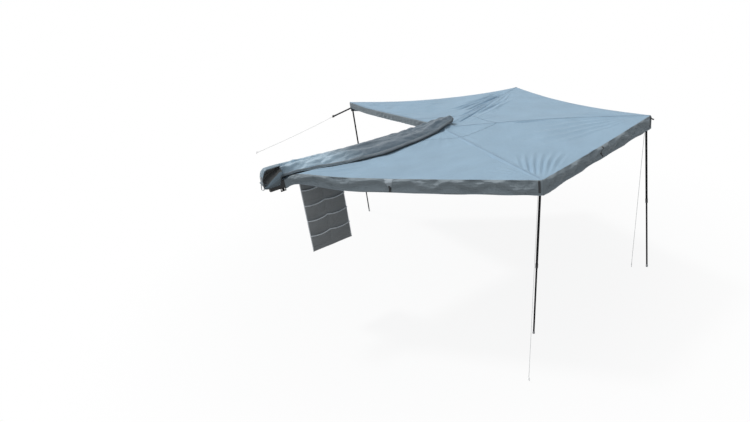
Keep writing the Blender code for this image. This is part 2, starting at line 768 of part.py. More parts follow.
# Canopy
def cloth_spine(key, share, nudge=0.0):
    """A point on the canopy's line over an arm, or over the rail for key a."""
    if key == "a":
        reach, lift, angle = RAIL_REACH, RAIL_EDGE_LIFT, 0.0
        offset = RAIL_FRONT_Y - RAIL_EDGE_IN - HUB_Y
        run = RAIL_RUN
    else:
        reach, lift, angle = ARM_REACH[key], CORNER_LIFT[key], math.radians(ARM_ANGLE[key])
        offset = arm_offset(ARMS.index(key))
        run = OFFSET_RUN
    radius = CLOTH_START + (reach + VALANCE_OUT - CLOTH_START) * share
    side = offset * min(1.0, (radius - CLOTH_START) / run) + nudge
    lift_share = smooth_step((radius - (reach - LIFT_RUN)) / LIFT_RUN)
    if key == "a":
        lift_share = smooth_step(radius / RAIL_RUN)
    height = CLOTH_UNDER + CLOTH + lift * lift_share
    height += HUB_RISE * math.exp(-((radius / HUB_RISE_WIDTH) ** 2))
    along = Vector((math.cos(angle), math.sin(angle), 0.0))
    left = Vector((-along.y, along.x, 0.0))
    return HUB + along * radius + left * side + Vector((0.0, 0.0, height))


def valance_lines(edge, outward, drop):
    """The hanging edge under one point of the canopy: its wave grows as it drops."""
    lines = []
    for step, share in enumerate((0.12, 0.45, 1.0)):
        flare = VALANCE_FLARE + VALANCE_WAVE * share * math.sin(edge["wave"] + 0.6 * step)
        lines.append(edge["point"] + outward * flare - Vector((0.0, 0.0, drop * share)))
    return lines


def make_canopy(first, second):
    """The cloth between two arms, with the valance that hangs from its outer edge."""
    name = first + second
    grid = []
    left_end = cloth_spine(first, 1.0)
    right_end = cloth_spine(second, 1.0)
    chord = (right_end - left_end).normalized()
    outward = Vector((chord.y, -chord.x, 0.0)).normalized()
    skew = math.log(0.5) / math.log(EDGE_PEAK[name])
    for i in range(CLOTH_ROWS + 1):
        share = (i / CLOTH_ROWS) ** CLOTH_SPREAD
        start = cloth_spine(first, share, SEAM_GAP / 2)
        end = cloth_spine(second, share, -SEAM_GAP / 2)
        rest = min(0.12, TUBE_REST / (end - start).length)
        line = [start]
        for j in range(CLOTH_COLUMNS - 1):
            across = j / (CLOTH_COLUMNS - 2)
            bow = 4 * across * (1 - across)
            cut = EDGE_CUT[name] * math.sin(math.pi * across**skew)
            sag = EDGE_SAG[name] * share**2 + BELLY * 4 * share * (1 - share)
            point = start.lerp(end, rest + (1 - 2 * rest) * across)
            point -= outward * cut * share**3
            point.z -= sag * bow
            if first == "a":
                rise = across / EDGE_RISE_SHARE * math.exp(1 - across / EDGE_RISE_SHARE)
                point.z += EDGE_RISE * rise * share**4
            line.append(point)
        line.append(end)
        if name == "de":
            line += inner_skirt(line[-1], share)
        grid.append(line)
    if first == "a":
        grid[-1][0].y = RAIL_FRONT_Y + CLOTH + TOUCH
    columns = len(grid[0])
    hanging = [[], [], []]
    for j in range(columns):
        wave = 2 * math.pi * 3.0 * j / CLOTH_COLUMNS + len(name) + ARMS.index(second)
        fade = math.sin(math.pi * min(1.0, j / CLOTH_COLUMNS))
        edge = {"point": grid[-1][j].copy(), "wave": wave * fade}
        drop = VALANCE_DROP
        if first == "a":
            front = min(1.0, j / CLOTH_COLUMNS / VALANCE_FRONT_RUN)
            drop = VALANCE_FRONT_DROP + (VALANCE_DROP - VALANCE_FRONT_DROP) * front
        drop -= VALANCE_LIFT[name] * math.sin(math.pi * min(1.0, j / CLOTH_COLUMNS))
        if j > CLOTH_COLUMNS:
            drop = min(VALANCE_DROP, VALANCE_DROP - (grid[-1][CLOTH_COLUMNS].z - grid[-1][j].z))
        for line, point in zip(hanging, valance_lines(edge, outward, drop)):
            line.append(point)
    as_solid(sheet_mesh(grid + hanging, CLOTH), f"canopy_{name}", CANVAS)


def inner_skirt(last, share):
    """Extra columns that fold over the last arm and hang down its open side."""
    angle = math.radians(ARM_ANGLE["e"])
    left = Vector((-math.sin(angle), math.cos(angle), 0.0))
    radius = CLOTH_START + (ARM_REACH["e"] + VALANCE_OUT - CLOTH_START) * share
    grow = smooth_step((radius - SKIRT_START) / SKIRT_START)
    over = ARM_WIDTH / 2 + SKIRT_CLEAR
    drop = SKIRT_HEM + (SKIRT_DROP - SKIRT_HEM) * grow
    wave = 0.004 * grow * (1 - share) * math.sin(radius * 11.0)
    points = [last + left * over * 0.9]
    for level, out in ((0.10, 0.0), (0.5, 0.6), (1.0, 1.0)):
        points.append(last + left * (over + 0.002 + wave * out) - Vector((0.0, 0.0, drop * level)))
    return points


# Bag cover
def cover_station(x):
    share = (x - COVER_START) / (COVER_END - COVER_START)
    for (s0, *near), (s1, *far) in zip(COVER_PROFILE, COVER_PROFILE[1:]):
        if share <= s1:
            step = (share - s0) / (s1 - s0)
            step = (smooth_step(step) + step) / 2
            return [low + (high - low) * step for low, high in zip(near, far)]
    return COVER_PROFILE[-1][1:]


def cover_section(x):
    """The cover's line in (y, z) from its hem on the rail, over its ridge, to its free edge.

    Past the canopy's front corner it makes a pouch: a lip above, a deep fold as its mouth, and below
    the mouth a flap, whose upper edge runs down toward the front.
    """
    ridge, edge, edge_z = cover_station(x)
    fall_off = ridge - edge_z
    hem_z = RAIL_TOP + TRACK_HEIGHT + CLOTH_GAP
    width = edge - COVER_RIDGE_Y
    ripple = 0.006 * math.sin(x * 9.0) + 0.004 * math.sin(x * 23.0 + 1.0)
    spread = smooth_step((x - COVER_FALL_START) / COVER_FALL_RUN)
    fall = smooth_step((x - COVER_FALL_START - COVER_FALL_RUN) / COVER_FALL_RUN)
    thrown = [
        (RAIL_FRONT_Y - COVER_HEM_IN, hem_z),
        (COVER_FOOT_Y - 0.010, hem_z),
        (COVER_RIDGE_Y * 0.55, hem_z + 0.010),
        (COVER_RIDGE_Y * 0.95, hem_z + (ridge - hem_z) * 0.45),
        (COVER_RIDGE_Y * 0.90, hem_z + (ridge - hem_z) * 0.80),
        (COVER_RIDGE_Y + width * 0.10, ridge),
        (COVER_RIDGE_Y + width * 0.28, ridge - fall_off * 0.22 + ripple),
        (COVER_RIDGE_Y + width * 0.48, ridge - fall_off * 0.52 - ripple),
        (COVER_RIDGE_Y + width * 0.72, ridge - fall_off * 0.80 + ripple * 0.4),
        (COVER_RIDGE_Y + width, edge_z + 0.006),
    ]
    face = COVER_FALL_FACE
    lip = max(COVER_LIP_LOW, COVER_LIP_Z - (x - COVER_FALL_START) * COVER_LIP_SLOPE)
    fallen = thrown[:5] + [
        (COVER_RIDGE_Y * 0.3, ridge),
        (face * 0.8, ridge * 0.93),
        (COVER_RIDGE_Y * 0.4, (ridge * 0.80 + lip) / 2),
        (face, lip),
        (face, COVER_FALL_Z),
    ]
    section = []
    for (y0, z0), (y1, z1) in zip(thrown, fallen):
        y, z = y0 + (y1 - y0) * spread, z0 + (z1 - z0) * fall
        from_hub = math.hypot(x - HUB_X, y - HUB_Y)
        section.append((y, z + (HUB_RISE + 0.006) * math.exp(-((from_hub / 0.20) ** 2))))
    return section


def make_cover():
    first, last = COVER_START, COVER_END
    bend = COVER_FALL_START
    places = [first + (bend - first) * i / COVER_STEPS for i in range(COVER_STEPS)]
    places += [bend + (last - bend) * i / COVER_END_STEPS for i in range(COVER_END_STEPS + 1)]
    grid = []
    for x in places:
        grid.append([Vector((x, y, z)) for y, z in cover_section(x)])
    as_solid(sheet_mesh(grid, COVER_THICK), "bag_cover", COVER_CLOTH)


def make_pull_loop():
    """The closed loop of webbing on the cover's front end: narrow above, round below."""
    past = 0.01
    wide, narrow = PULL_LOOP_WIDTH / 2, PULL_LOOP_NECK / 2
    centre_x = COVER_END + TOUCH + wide
    upper = (centre_x - wide + narrow, PULL_LOOP_TOP - narrow)
    lower = (centre_x, PULL_LOOP_TOP - PULL_LOOP_LENGTH + wide)

    def outline(inset):
        ends = circle_points(narrow - inset, upper, 12) + circle_points(wide - inset, lower, 12)
        return hull_outline(ends)

    near = COVER_FALL_FACE - PULL_LOOP_BAND * 0.8
    band = prism_mesh(outline(0.0), near, near + PULL_LOOP_BAND, axis="y")
    inside = prism_mesh(outline(PULL_LOOP_THICK), near - past, near + PULL_LOOP_BAND + past, axis="y")
    as_solid(band, "cover_pull_loop", WEBBING, cuts=[inside])


# Pocket organiser
def make_organiser():
    """A cloth panel with four rows of pockets, which hangs under the rail."""
    top = RAIL_BOTTOM - TOUCH
    bottom = top - ORGANISER_TOP_HEM - ORGANISER_ROW * ORGANISER_ROWS
    back = ORGANISER_Y
    face = back + ORGANISER_CLOTH
    outline = [(back, bottom), (face + POCKET_FOOT, bottom)]
    for row in range(ORGANISER_ROWS, 0, -1):
        mouth = top - ORGANISER_TOP_HEM - ORGANISER_ROW * (row - 1) - 0.035
        outline.append((face + POCKET_FOOT + 0.004, mouth - ORGANISER_ROW * 0.55))
        outline.append((face + POCKET_MOUTH, mouth))
        outline.append((face, mouth - 0.002))
        if row > 1:
            outline.append((face + 0.0005, mouth + 0.033))
            outline.append((face + POCKET_FOOT, mouth + 0.036))
    outline += [(face, top), (back, top)]
    as_solid(
        prism_mesh(outline, ORGANISER_START, ORGANISER_START + ORGANISER_WIDTH, axis="x"),
        "pocket_organiser",
        ORGANISER_FABRIC,
    )


# Guy lines
def rope_line(start, end, sag):
    points = []
    for i in range(ROPE_POINTS + 1):
        share = i / ROPE_POINTS
        point = start.lerp(end, share)
        point.z -= sag * 4 * share * (1 - share)
        points.append(point)
    return points


def guy_top(key):
    """Where a ground guy leaves the arm: under the leg pin's outer end."""
    side = arm_offset(ARMS.index(key))
    pivot_x = ARM_REACH[key] - END_SETBACK + END_LENGTH / 2 - GUY_SETBACK
    edge = CHEEK_GAP / 2 + CHEEK_THICK
    out = side - edge - ROPE / 2 - TOUCH
    return arm_matrix(key) @ Vector((pivot_x, out, -LEG_DROP))


def make_ground_guy(key):
    start = guy_top(key)
    end = Vector((*PEG_PLACE[key], -GROUND_DROP + PEG_ABOVE - 0.008))
    flat = Vector((end.x - start.x, end.y - start.y, 0.0)).normalized()
    lean = Vector((0, 0, 1)).cross(flat)
    tilt = Matrix.Rotation(math.radians(PEG_TILT[key]), 4, lean)
    place = Matrix.Translation(end) @ tilt
    peg_axis = make_axis(f"peg_{key}_axis", None, place)
    head_top = PEG_NECK + PEG_HEAD_THICK
    slant = (tilt @ Vector((0, 0, 1))).cross((start - end).normalized()).length
    rope_end = place @ Vector((0, 0, head_top + TOUCH + slant * ROPE / 2))
    rope_object(f"guy_{key}_rope", rope_line(rope_end, start, 0.0), ROPE, CORD)
    radius = PEG_SIZE / 2
    low = PEG_ABOVE - PEG_LENGTH
    loop = [
        (0.0, low),
        (radius * 0.6, low + 0.010),
        (radius, low + 0.030),
        (radius, PEG_NECK),
        (PEG_HEAD / 2, PEG_NECK + 0.002),
        (PEG_HEAD / 2, head_top),
        (0.0, head_top),
    ]
    as_solid(turned_mesh(loop, 12), f"guy_{key}_peg", STEEL, peg_axis)


def make_side_guy():
    """Webbing, cam buckle, cord and hook from the last arm's end forward to the rack's far side."""
    side = arm_offset(ARMS.index("e"))
    tube_end = ARM_REACH["e"] - END_SETBACK
    pivot_x = tube_end + END_LENGTH / 2
    start = arm_matrix("e") @ Vector((pivot_x + 0.010, side + GUY_STRAP_OUT, -LEG_DROP))
    end = Vector(GUY_HOOK_PLACE)
    direction = (end - start).normalized()
    frame = direction.to_track_quat("X", "Z").to_matrix().to_4x4()
    placed = Matrix.Translation(start) @ frame
    strap_axis = make_axis("guy_e_axis", None, placed)
    half = GUY_STRAP_WIDTH / 2
    strap = box_mesh((0.0, -GUY_STRAP_THICK / 2, -half), (GUY_STRAP_LENGTH, GUY_STRAP_THICK / 2, half))
    size = Vector(GUY_BUCKLE) / 2
    at = GUY_STRAP_LENGTH
    buckle = box_mesh((at - size.x, -size.z, -size.y), (at + size.x, size.z, size.y))
    as_solid(strap, "guy_e_strap", WEBBING, strap_axis, joins=[buckle])
    rope_start = placed @ Vector((at + size.x + TOUCH, 0.0, 0.0))
    rope_end = end - direction * (HOOK_WIRE + TOUCH)
    rope_object("guy_e_rope", rope_line(rope_start, rope_end, GUY_SAG), ROPE, CORD)
    hook_axis = make_axis("hook_e_axis", None, Matrix.Translation(end) @ frame)
    shank = rod_mesh(HOOK_WIRE / 2 + 0.001, -HOOK_WIRE, 0.030, "x", segments=10)
    as_solid(shank, "guy_e_hook", STEEL, hook_axis, joins=[hook_bend()])


def hook_bend():
    """The open hook: a bar swept round three quarters of a circle."""
    bm = bmesh.new()
    steps = 12
    sides = 8
    rings = []
    for i in range(steps + 1):
        turn = math.pi - 1.45 * math.pi * i / steps
        centre = Vector((0.026 + HOOK_RADIUS, 0.0, 0.0))
        centre += Vector((math.cos(turn), 0.0, math.sin(turn))) * HOOK_RADIUS
        outward = Vector((math.cos(turn), 0.0, math.sin(turn)))
        ring = []
        for k in range(sides):
            angle = 2 * math.pi * k / sides
            offset = outward * math.cos(angle) + Vector((0, 1, 0)) * math.sin(angle)
            ring.append(bm.verts.new(centre + offset * HOOK_WIRE / 2))
        rings.append(ring)
    for one, two in zip(rings, rings[1:]):
        for k in range(sides):
            m = (k + 1) % sides
            bm.faces.new((one[k], one[m], two[m], two[k]))
    bm.faces.new(rings[0])
    bm.faces.new(rings[-1])
    return bm


make_rail()
make_rail_cap()
for bracket_name, bracket_place in BRACKET_PLACES.items():
    make_bracket(bracket_name, bracket_place)
make_hub()
for arm_index, arm_key in enumerate(ARMS):
    make_arm(arm_index, arm_key)
for pair in ("ab", "bc", "cd", "de"):
    make_canopy(*pair)
make_cover()
make_pull_loop()
make_organiser()
for guy_key in PEG_PLACE:
    make_ground_guy(guy_key)
make_side_guy()
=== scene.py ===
"""Looks of the side awning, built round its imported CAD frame. Metres, in the CAD's own axes."""

import math

import bmesh
import bpy
import numpy as np
from mathutils import Matrix, Vector


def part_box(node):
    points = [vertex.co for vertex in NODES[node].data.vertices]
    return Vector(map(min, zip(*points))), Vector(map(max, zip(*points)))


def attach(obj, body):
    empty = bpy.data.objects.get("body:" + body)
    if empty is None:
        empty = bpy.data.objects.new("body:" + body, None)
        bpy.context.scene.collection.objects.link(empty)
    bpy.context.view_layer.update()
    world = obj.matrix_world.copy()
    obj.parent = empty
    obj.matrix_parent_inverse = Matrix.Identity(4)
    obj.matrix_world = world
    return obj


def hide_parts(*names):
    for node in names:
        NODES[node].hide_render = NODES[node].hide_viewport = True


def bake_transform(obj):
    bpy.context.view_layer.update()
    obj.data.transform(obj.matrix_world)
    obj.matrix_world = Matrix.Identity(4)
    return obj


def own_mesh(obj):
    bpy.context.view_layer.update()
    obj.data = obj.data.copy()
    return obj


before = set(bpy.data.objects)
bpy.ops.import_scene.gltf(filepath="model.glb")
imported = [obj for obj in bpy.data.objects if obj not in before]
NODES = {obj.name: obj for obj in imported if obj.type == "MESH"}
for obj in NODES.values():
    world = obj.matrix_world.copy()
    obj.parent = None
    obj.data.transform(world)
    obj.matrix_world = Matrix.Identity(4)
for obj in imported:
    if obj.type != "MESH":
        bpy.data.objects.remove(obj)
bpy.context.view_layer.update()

# Places and sizes that the CAD source names too
GROUND_DROP = 1.99
HUB = np.array([-0.30, 0.12, 0.0])
ARMS = "bcde"
PANELS = ("ab", "bc", "cd", "de")
ARM_ANGLE = {"a": 0.0, "b": 75.0, "c": 126.5, "d": 198.0, "e": 268.0}
ARM_REACH = {"a": 2.363, "b": 2.39, "c": 2.49, "d": 2.12, "e": 2.58}
CORNER_LIFT = {"a": 0.003, "b": 0.0, "c": 0.046, "d": 0.0, "e": 0.028}
ARM_PITCH = 0.032
ARM_WIDTH = 0.026
RAIL_FRONT_Y = 0.0463
RAIL_TOP = 0.018
TRACK_HEIGHT = 0.012
CLOTH_TOP = 0.0221
CLOTH_START = 0.030
HUB_RISE = 0.034
HUB_RISE_WIDTH = 0.12
OFFSET_RUN = 0.045
LIFT_RUN = 0.60
RAIL_RUN = 0.25
RAIL_EDGE_IN = 0.005
TUBE_REST = 0.018
EDGE_SAG = {"ab": 0.014, "bc": 0.016, "cd": 0.034, "de": 0.048}
EDGE_CUT = {"ab": 0.065, "bc": 0.005, "cd": 0.070, "de": 0.120}
EDGE_PEAK = {"ab": 0.27, "bc": 0.50, "cd": 0.50, "de": 0.38}
BELLY = 0.018
EDGE_RISE = 0.055
EDGE_RISE_SHARE = 0.06
VALANCE_DROP = 0.160
VALANCE_FRONT_DROP = 0.105
VALANCE_FRONT_RUN = 0.22
VALANCE_LIFT = {"ab": 0.0, "bc": 0.022, "cd": 0.0, "de": 0.0}
VALANCE_OUT = 0.012
VALANCE_FLARE = 0.012
VALANCE_WAVE = 0.006
VALANCE_PUCKER = 0.0085
VALANCE_BROAD = 0.0080
VALANCE_BAND = 0.0130
SKIRT_DROP = 0.095
SKIRT_START = 0.16
SKIRT_CLEAR = 0.0035
SKIRT_LEG_ROOM = 0.0070
SKIRT_LEG_PLACE = 1.78
SKIRT_HEM = 0.004
COVER_START = -0.46
COVER_END = 2.34
# Share of the cover's length, height of its ridge, and its free edge's y and z
COVER_PROFILE = [
    (0.000, 0.075, 0.120, 0.050),
    (0.025, 0.080, 0.170, 0.050),
    (0.093, 0.080, 0.215, 0.046),
    (0.164, 0.080, 0.255, 0.042),
    (0.282, 0.085, 0.310, 0.040),
    (0.464, 0.104, 0.355, 0.042),
    (0.625, 0.128, 0.265, 0.048),
    (0.768, 0.150, 0.140, 0.064),
    (0.846, 0.162, 0.065, 0.074),
    (0.921, 0.172, 0.055, 0.076),
    (1.000, 0.176, 0.055, 0.076),
]
COVER_FALL_START = 2.055
COVER_FALL_RUN = 0.045
COVER_FALL_FACE = 0.053
COVER_FALL_Z = -0.025
COVER_LIP_Z = 0.170
COVER_LIP_SLOPE = 0.60
COVER_LIP_LOW = 0.020
COVER_RIDGE_Y = -0.150
COVER_FOOT_Y = 0.012
COVER_HEM_IN = 0.002
PEG_PLACE = {"b": (0.927, 2.675), "c": (-1.666, 2.039)}
PEG_TILT = {"b": 20.0, "c": 0.0}
PEG_RISE = 0.027
PEG_HEAD_TOP = 0.018
TOUCH = 0.0003
ROPE = 0.004
ROPE_TOP = {"b": (0.36895, 2.37469, -0.04), "c": (-1.73331, 2.10845, -0.04)}
SIDE_GUY_TOP = (-0.32085, -2.44283, -0.04)
SIDE_GUY_HOOK = (1.80, -1.43, 0.00)
STRAP_LENGTH = 0.52
STRAP_WIDTH = 0.025
STRAP_THICK = 0.0025
BUCKLE = (0.050, 0.034, 0.014)
HOOK_WIRE = 0.006
SIDE_GUY_SAG = 0.012
BUCKLE_ASIDE = 0.0045

# Finer sizes of the dressed pieces
CANVAS_THICK = 0.0012
PANEL_ROWS = 150
PANEL_COLUMNS = 160
PANEL_GATHER = 0.35
VALANCE_ROWS = 22
LAYER_GAP = 0.0016
OPEN_EDGE_LIFT = 0.036
OPEN_EDGE_RUN = 1.7
LONG_ARM_BOW = 0.032
POUCH_RISE = 0.036
COVER_NOSE = 0.085
COVER_NOSE_KEEP = 0.12
COVER_EDGE_SINK = 0.014
COVER_SWELL = 0.020
TAPE_LIFT = 0.0005
TAPE_THICK = 0.0008
HEM_RADIUS = 0.0022
ARM_SEAM_HALF = 0.0075
HUB_PATCH = {"a": 0.74, "b": 0.557, "c": 0.70, "d": 0.62, "e": 0.64}
HUB_PATCH_HALF = 0.006
GROOVE_DEPTH = 0.007
CLOTH_RIPPLE = 0.0035
OPEN_FOLD_HEIGHT = 0.010
OPEN_FOLD_COUNT = 9.5
SEAM_PUCKER = 0.0016
SKIRT_LEG_RUN = 0.14
COVER_THICK = 0.0018
COVER_PIPING = 0.0042
WEBBING_THICK = 0.0018
PULL_LOOP_TOP = 0.140
PULL_LOOP_LENGTH = 0.160
PULL_LOOP_WIDE = 0.018
PULL_LOOP_NARROW = 0.006
POCKET_ROWS = 4
POCKET_HEM = 0.13
POCKET_HEIGHT = 0.205
POCKET_PIPING = 0.0080
BINDING_RADIUS = 0.0058


# Light, floor and camera
CAMERA_PLACE = (4.3734, 6.1402, 2.2305)
CAMERA_RIGHT = (-0.82920, 0.53970, -0.14547)
CAMERA_UP = (-0.33081, -0.26405, 0.90600)
CAMERA_LENS = 27.7234
SENSOR_WIDTH = 36.0
WHITE = (1.0, 1.0, 1.0, 1.0)
SKY_COLOUR = (0.94, 0.97, 1.0, 1.0)
SKY_LOW = 0.06
SKY_HIGH = 0.70
SKY_TOWARD = (0.50, 0.10, 0.86)
FLOOR_GREY = (0.80, 0.80, 0.80, 1.0)
FLOOR_DIM = (0.30, 0.30, 0.30, 1.0)
FLOOR_REACH = 90.0
FLOOR_MIDDLE = (0.0, 0.2, -GROUND_DROP)
FLOOR_GLOW = 0.90
FLOOR_GLOW_RUN = (2.0, 5.5)
SUN_FROM = (1.0, -3.2, 5.6)
SUN_POWER = 1.68
SUN_ANGLE = 9.0


def add_object(name, data):
    thing = bpy.data.objects.new(name, data)
    bpy.context.scene.collection.objects.link(thing)
    return thing


def make_camera():
    data = bpy.data.cameras.new("photo_camera")
    data.sensor_fit = "HORIZONTAL"
    data.sensor_width = SENSOR_WIDTH
    data.lens = CAMERA_LENS
    camera = add_object("photo_camera", data)
    right, up = Vector(CAMERA_RIGHT), Vector(CAMERA_UP)
    turn = Matrix((right, up, right.cross(up))).transposed().to_4x4()
    camera.matrix_world = Matrix.Translation(CAMERA_PLACE) @ turn
    bpy.context.scene.camera = camera


def add_node(tree, kind, inputs=None, **settings):
    node = tree.nodes.new(kind)
    for name, value in settings.items():
        setattr(node, name, value)
    for name, value in (inputs or {}).items():
        if isinstance(value, bpy.types.NodeSocket):
            tree.links.new(value, node.inputs[name])
        else:
            node.inputs[name].default_value = value
    return node


def maths(tree, operation, first, second):
    return add_node(tree, "ShaderNodeMath", {0: first, 1: second}, operation=operation).outputs[0]


def ranged(tree, value, low, high, start, end, **settings):
    """Takes a value from between low and high to between start and end."""
    ends = {"From Min": low, "From Max": high, "To Min": start, "To Max": end}
    return add_node(tree, "ShaderNodeMapRange", {"Value": value, **ends}, **settings).outputs[0]


def mix_shaders(tree, factor, first, second):
    return add_node(
        tree, "ShaderNodeMixShader", {0: factor, 1: first.outputs[0], 2: second.outputs[0]}
    )


def seen_directly(tree):
    """1 for rays that come from the camera, from gloss or through glass, and 0 for others."""
    path = add_node(tree, "ShaderNodeLightPath").outputs
    first = maths(tree, "MAXIMUM", path["Is Camera Ray"], path["Is Glossy Ray"])
    return maths(tree, "MAXIMUM", first, path["Is Transmission Ray"])


def make_stage():
    """A pale floor and background, a soft sky that is brightest overhead, and a hazy sun from behind."""
    scene = bpy.context.scene
    world = bpy.data.worlds.new("plain_world")
    scene.world = world
    world.use_nodes = True
    tree = world.node_tree
    tree.nodes.clear()
    place = add_node(tree, "ShaderNodeTexCoord").outputs["Generated"]
    toward = add_node(tree, "ShaderNodeVectorMath", {0: place, 1: SKY_TOWARD}, operation="DOT_PRODUCT")
    rise = ranged(tree, toward.outputs["Value"], -0.1, 1.0, SKY_LOW, SKY_HIGH)
    sky = add_node(tree, "ShaderNodeBackground", {"Color": SKY_COLOUR, "Strength": rise})
    plain = add_node(tree, "ShaderNodeBackground", {"Color": WHITE, "Strength": 1.0})
    mix = mix_shaders(tree, seen_directly(tree), sky, plain)
    add_node(tree, "ShaderNodeOutputWorld", {"Surface": mix.outputs[0]})

    mesh = bpy.data.meshes.new("floor")
    square = ((-1, -1), (1, -1), (1, 1), (-1, 1))
    corners = [(x * FLOOR_REACH, y * FLOOR_REACH, -GROUND_DROP) for x, y in square]
    mesh.from_pydata(corners, [], [(0, 1, 2, 3)])
    add_object("floor", mesh)
    paint = bpy.data.materials.new("floor_paint")
    paint.use_nodes = True
    tree = paint.node_tree
    tree.nodes.clear()
    shaded = add_node(tree, "ShaderNodeBsdfDiffuse", {"Color": FLOOR_GREY})
    glow = add_node(tree, "ShaderNodeEmission", {"Color": WHITE, "Strength": 1.0})
    place = add_node(tree, "ShaderNodeTexCoord").outputs["Object"]
    away = add_node(tree, "ShaderNodeVectorMath", {0: place, 1: FLOOR_MIDDLE}, operation="DISTANCE")
    away = ranged(
        tree, away.outputs["Value"], *FLOOR_GLOW_RUN, FLOOR_GLOW, 1.0, interpolation_type="SMOOTHSTEP"
    )
    bright = mix_shaders(tree, away, shaded, glow)
    dim = add_node(tree, "ShaderNodeBsdfDiffuse", {"Color": FLOOR_DIM})
    both = mix_shaders(tree, seen_directly(tree), dim, bright)
    add_node(tree, "ShaderNodeOutputMaterial", {"Surface": both.outputs[0]})
    mesh.materials.append(paint)

    data = bpy.data.lights.new("high_sun", "SUN")
    data.energy = SUN_POWER
    data.angle = math.radians(SUN_ANGLE)
    lamp = add_object("high_sun", data)
    lamp.rotation_euler = (-Vector(SUN_FROM)).to_track_quat("-Z", "Y").to_euler()
    scene.view_settings.view_transform = "Standard"


# Materials. The wave texture's bands are this far apart at a scale of 1.
WAVE_LENGTH = 0.314
# Painted light on the cover: a paler colour stands in for light on its front half, which leaves the hub
# end darker as painted shade: its colour, where that sets in, where it wanes, and what is left then
COVER_PAINTED_LIGHT = ((0.450, 0.600, 0.710), (1.45, 2.15), (2.40, 2.62), 0.40)
# Colour, thread pitch, roughness, mottle, crease, and where they differ sheen and painted light
CLOTHS = {
    "canvas": ((0.318, 0.462, 0.588), 0.0016, 0.72, 0.045, 0.0010),
    # a darker, greyer copy of the canvas: painted shade for the hanging cloth
    "canvas_edge": ((0.282, 0.334, 0.366), 0.0016, 0.72, 0.08, 0.0020),
    "canvas_hem": ((0.42, 0.50, 0.57), 0.0012, 0.75, 0.05, 0.0003),
    "canvas_tape": ((0.27, 0.395, 0.515), 0.0012, 0.75, 0.06, 0.0004),
    "patch_cloth": ((0.50, 0.57, 0.62), 0.0012, 0.75, 0.06, 0.0004),
    # the cover's cloth, with painted light along its front half
    "cover_pvc_cloth": ((0.095, 0.139, 0.178), 0.0022, 0.42, 0.08, 0.0014, 0.05, COVER_PAINTED_LIGHT),
    "cover_zip_tape": ((0.150, 0.188, 0.216), 0.0012, 0.60, 0.08, 0.0004),
    # the cover's inner face: partly its own backing colour, partly painted shade for the recess of the
    # pouch's mouth
    "cover_pvc_inside": ((0.150, 0.155, 0.155), 0.0022, 0.60, 0.10, 0.0014, 0.05),
    "organiser_weave": ((0.335, 0.350, 0.358), 0.0012, 0.78, 0.10, 0.0010),
    "black_web": ((0.016, 0.017, 0.019), 0.0014, 0.70, 0.15, 0.0002),
    "faded_web": ((0.052, 0.058, 0.062), 0.0014, 0.70, 0.15, 0.0002),
    "pale_web": ((0.42, 0.44, 0.46), 0.0014, 0.70, 0.10, 0.0002),
    "grey_piping": ((0.88, 0.92, 0.95), 0.0010, 0.70, 0.05, 0.0002),
    "dark_piping": ((0.022, 0.025, 0.029), 0.0010, 0.60, 0.12, 0.0002),
    "seam_tape": ((0.21, 0.31, 0.41), 0.0012, 0.75, 0.06, 0.0004),
    "pale_rope": ((0.86, 0.87, 0.87), 0.0011, 0.70, 0.03, 0.0001),
}
# Colour, roughness, metal, grain, scuff, and where they differ streak and shine
HARD = {
    "anodised_rail": ((0.030, 0.031, 0.033), 0.42, 0.6, 1500.0, (0.10, 0.10, 0.11), True),
    "black_powder_coat": ((0.006, 0.006, 0.007), 0.62, 0.0, 2200.0, (0.020, 0.020, 0.022), False, 0.12),
    "zinc_steel": ((0.52, 0.53, 0.54), 0.34, 1.0, 1600.0, (0.30, 0.28, 0.26)),
    "moulded_black": ((0.020, 0.020, 0.022), 0.55, 0.0, 1200.0, (0.06, 0.06, 0.06)),
    "grey_rubber_foot": ((0.62, 0.63, 0.64), 0.80, 0.0, 700.0, (0.40, 0.39, 0.37)),
    "dark_steel": ((0.085, 0.088, 0.092), 0.45, 0.6, 1600.0, (0.16, 0.16, 0.16)),
}
# Which solids of the frame have another finish than the paint, by words in their names
NODE_FINISHES = (
    (("mounting_rail", "_tube"), "anodised_rail"),
    (("_foot",), "grey_rubber_foot"),
    (("_collar", "rail_cap", "spacer"), "moulded_black"),
    (("_pin", "bolt", "hub_nut", "_peg", "_hook"), "zinc_steel"),
)
FINISH = {}


def new_tree(name):
    finish = bpy.data.materials.new(name)
    finish.use_nodes = True
    tree = finish.node_tree
    return finish, tree, tree.nodes["Principled BSDF"]


def metres(tree, scale=(1.0, 1.0, 1.0), flat=True):
    """The piece's own coordinates in metres: its cloth map, or its place in the row frame."""
    if flat:
        source = add_node(tree, "ShaderNodeUVMap", uv_map="metres").outputs["UV"]
    else:
        source = add_node(tree, "ShaderNodeTexCoord").outputs["Object"]
    return add_node(tree, "ShaderNodeMapping", {"Vector": source, "Scale": scale}).outputs[0]


def colour_mix(tree, factor, first, second):
    """A colour between two, where each is a colour or another node's output."""
    node = tree.nodes.new("ShaderNodeMix")
    node.data_type = "RGBA"
    tree.links.new(factor, node.inputs[0])
    for socket, value in ((node.inputs[6], first), (node.inputs[7], second)):
        if isinstance(value, bpy.types.NodeSocket):
            tree.links.new(value, socket)
        else:
            socket.default_value = (*value, 1.0)
    return node.outputs[2]


def noise(tree, place, scale, detail=3.0, low=0.35, high=0.65, rough=0.55):
    """A noise from 0 to 1, with its contrast raised between low and high."""
    cloud = add_node(
        tree, "ShaderNodeTexNoise",
        {"Vector": place, "Scale": scale, "Detail": detail, "Roughness": rough},
    )
    return ranged(tree, cloud.outputs[0], low, high, 0.0, 1.0)


def bumped(tree, height, distance, strength=1.0, after=None):
    inputs = {"Height": height, "Distance": distance, "Strength": strength}
    if after is not None:
        inputs["Normal"] = after
    return add_node(tree, "ShaderNodeBump", inputs).outputs[0]


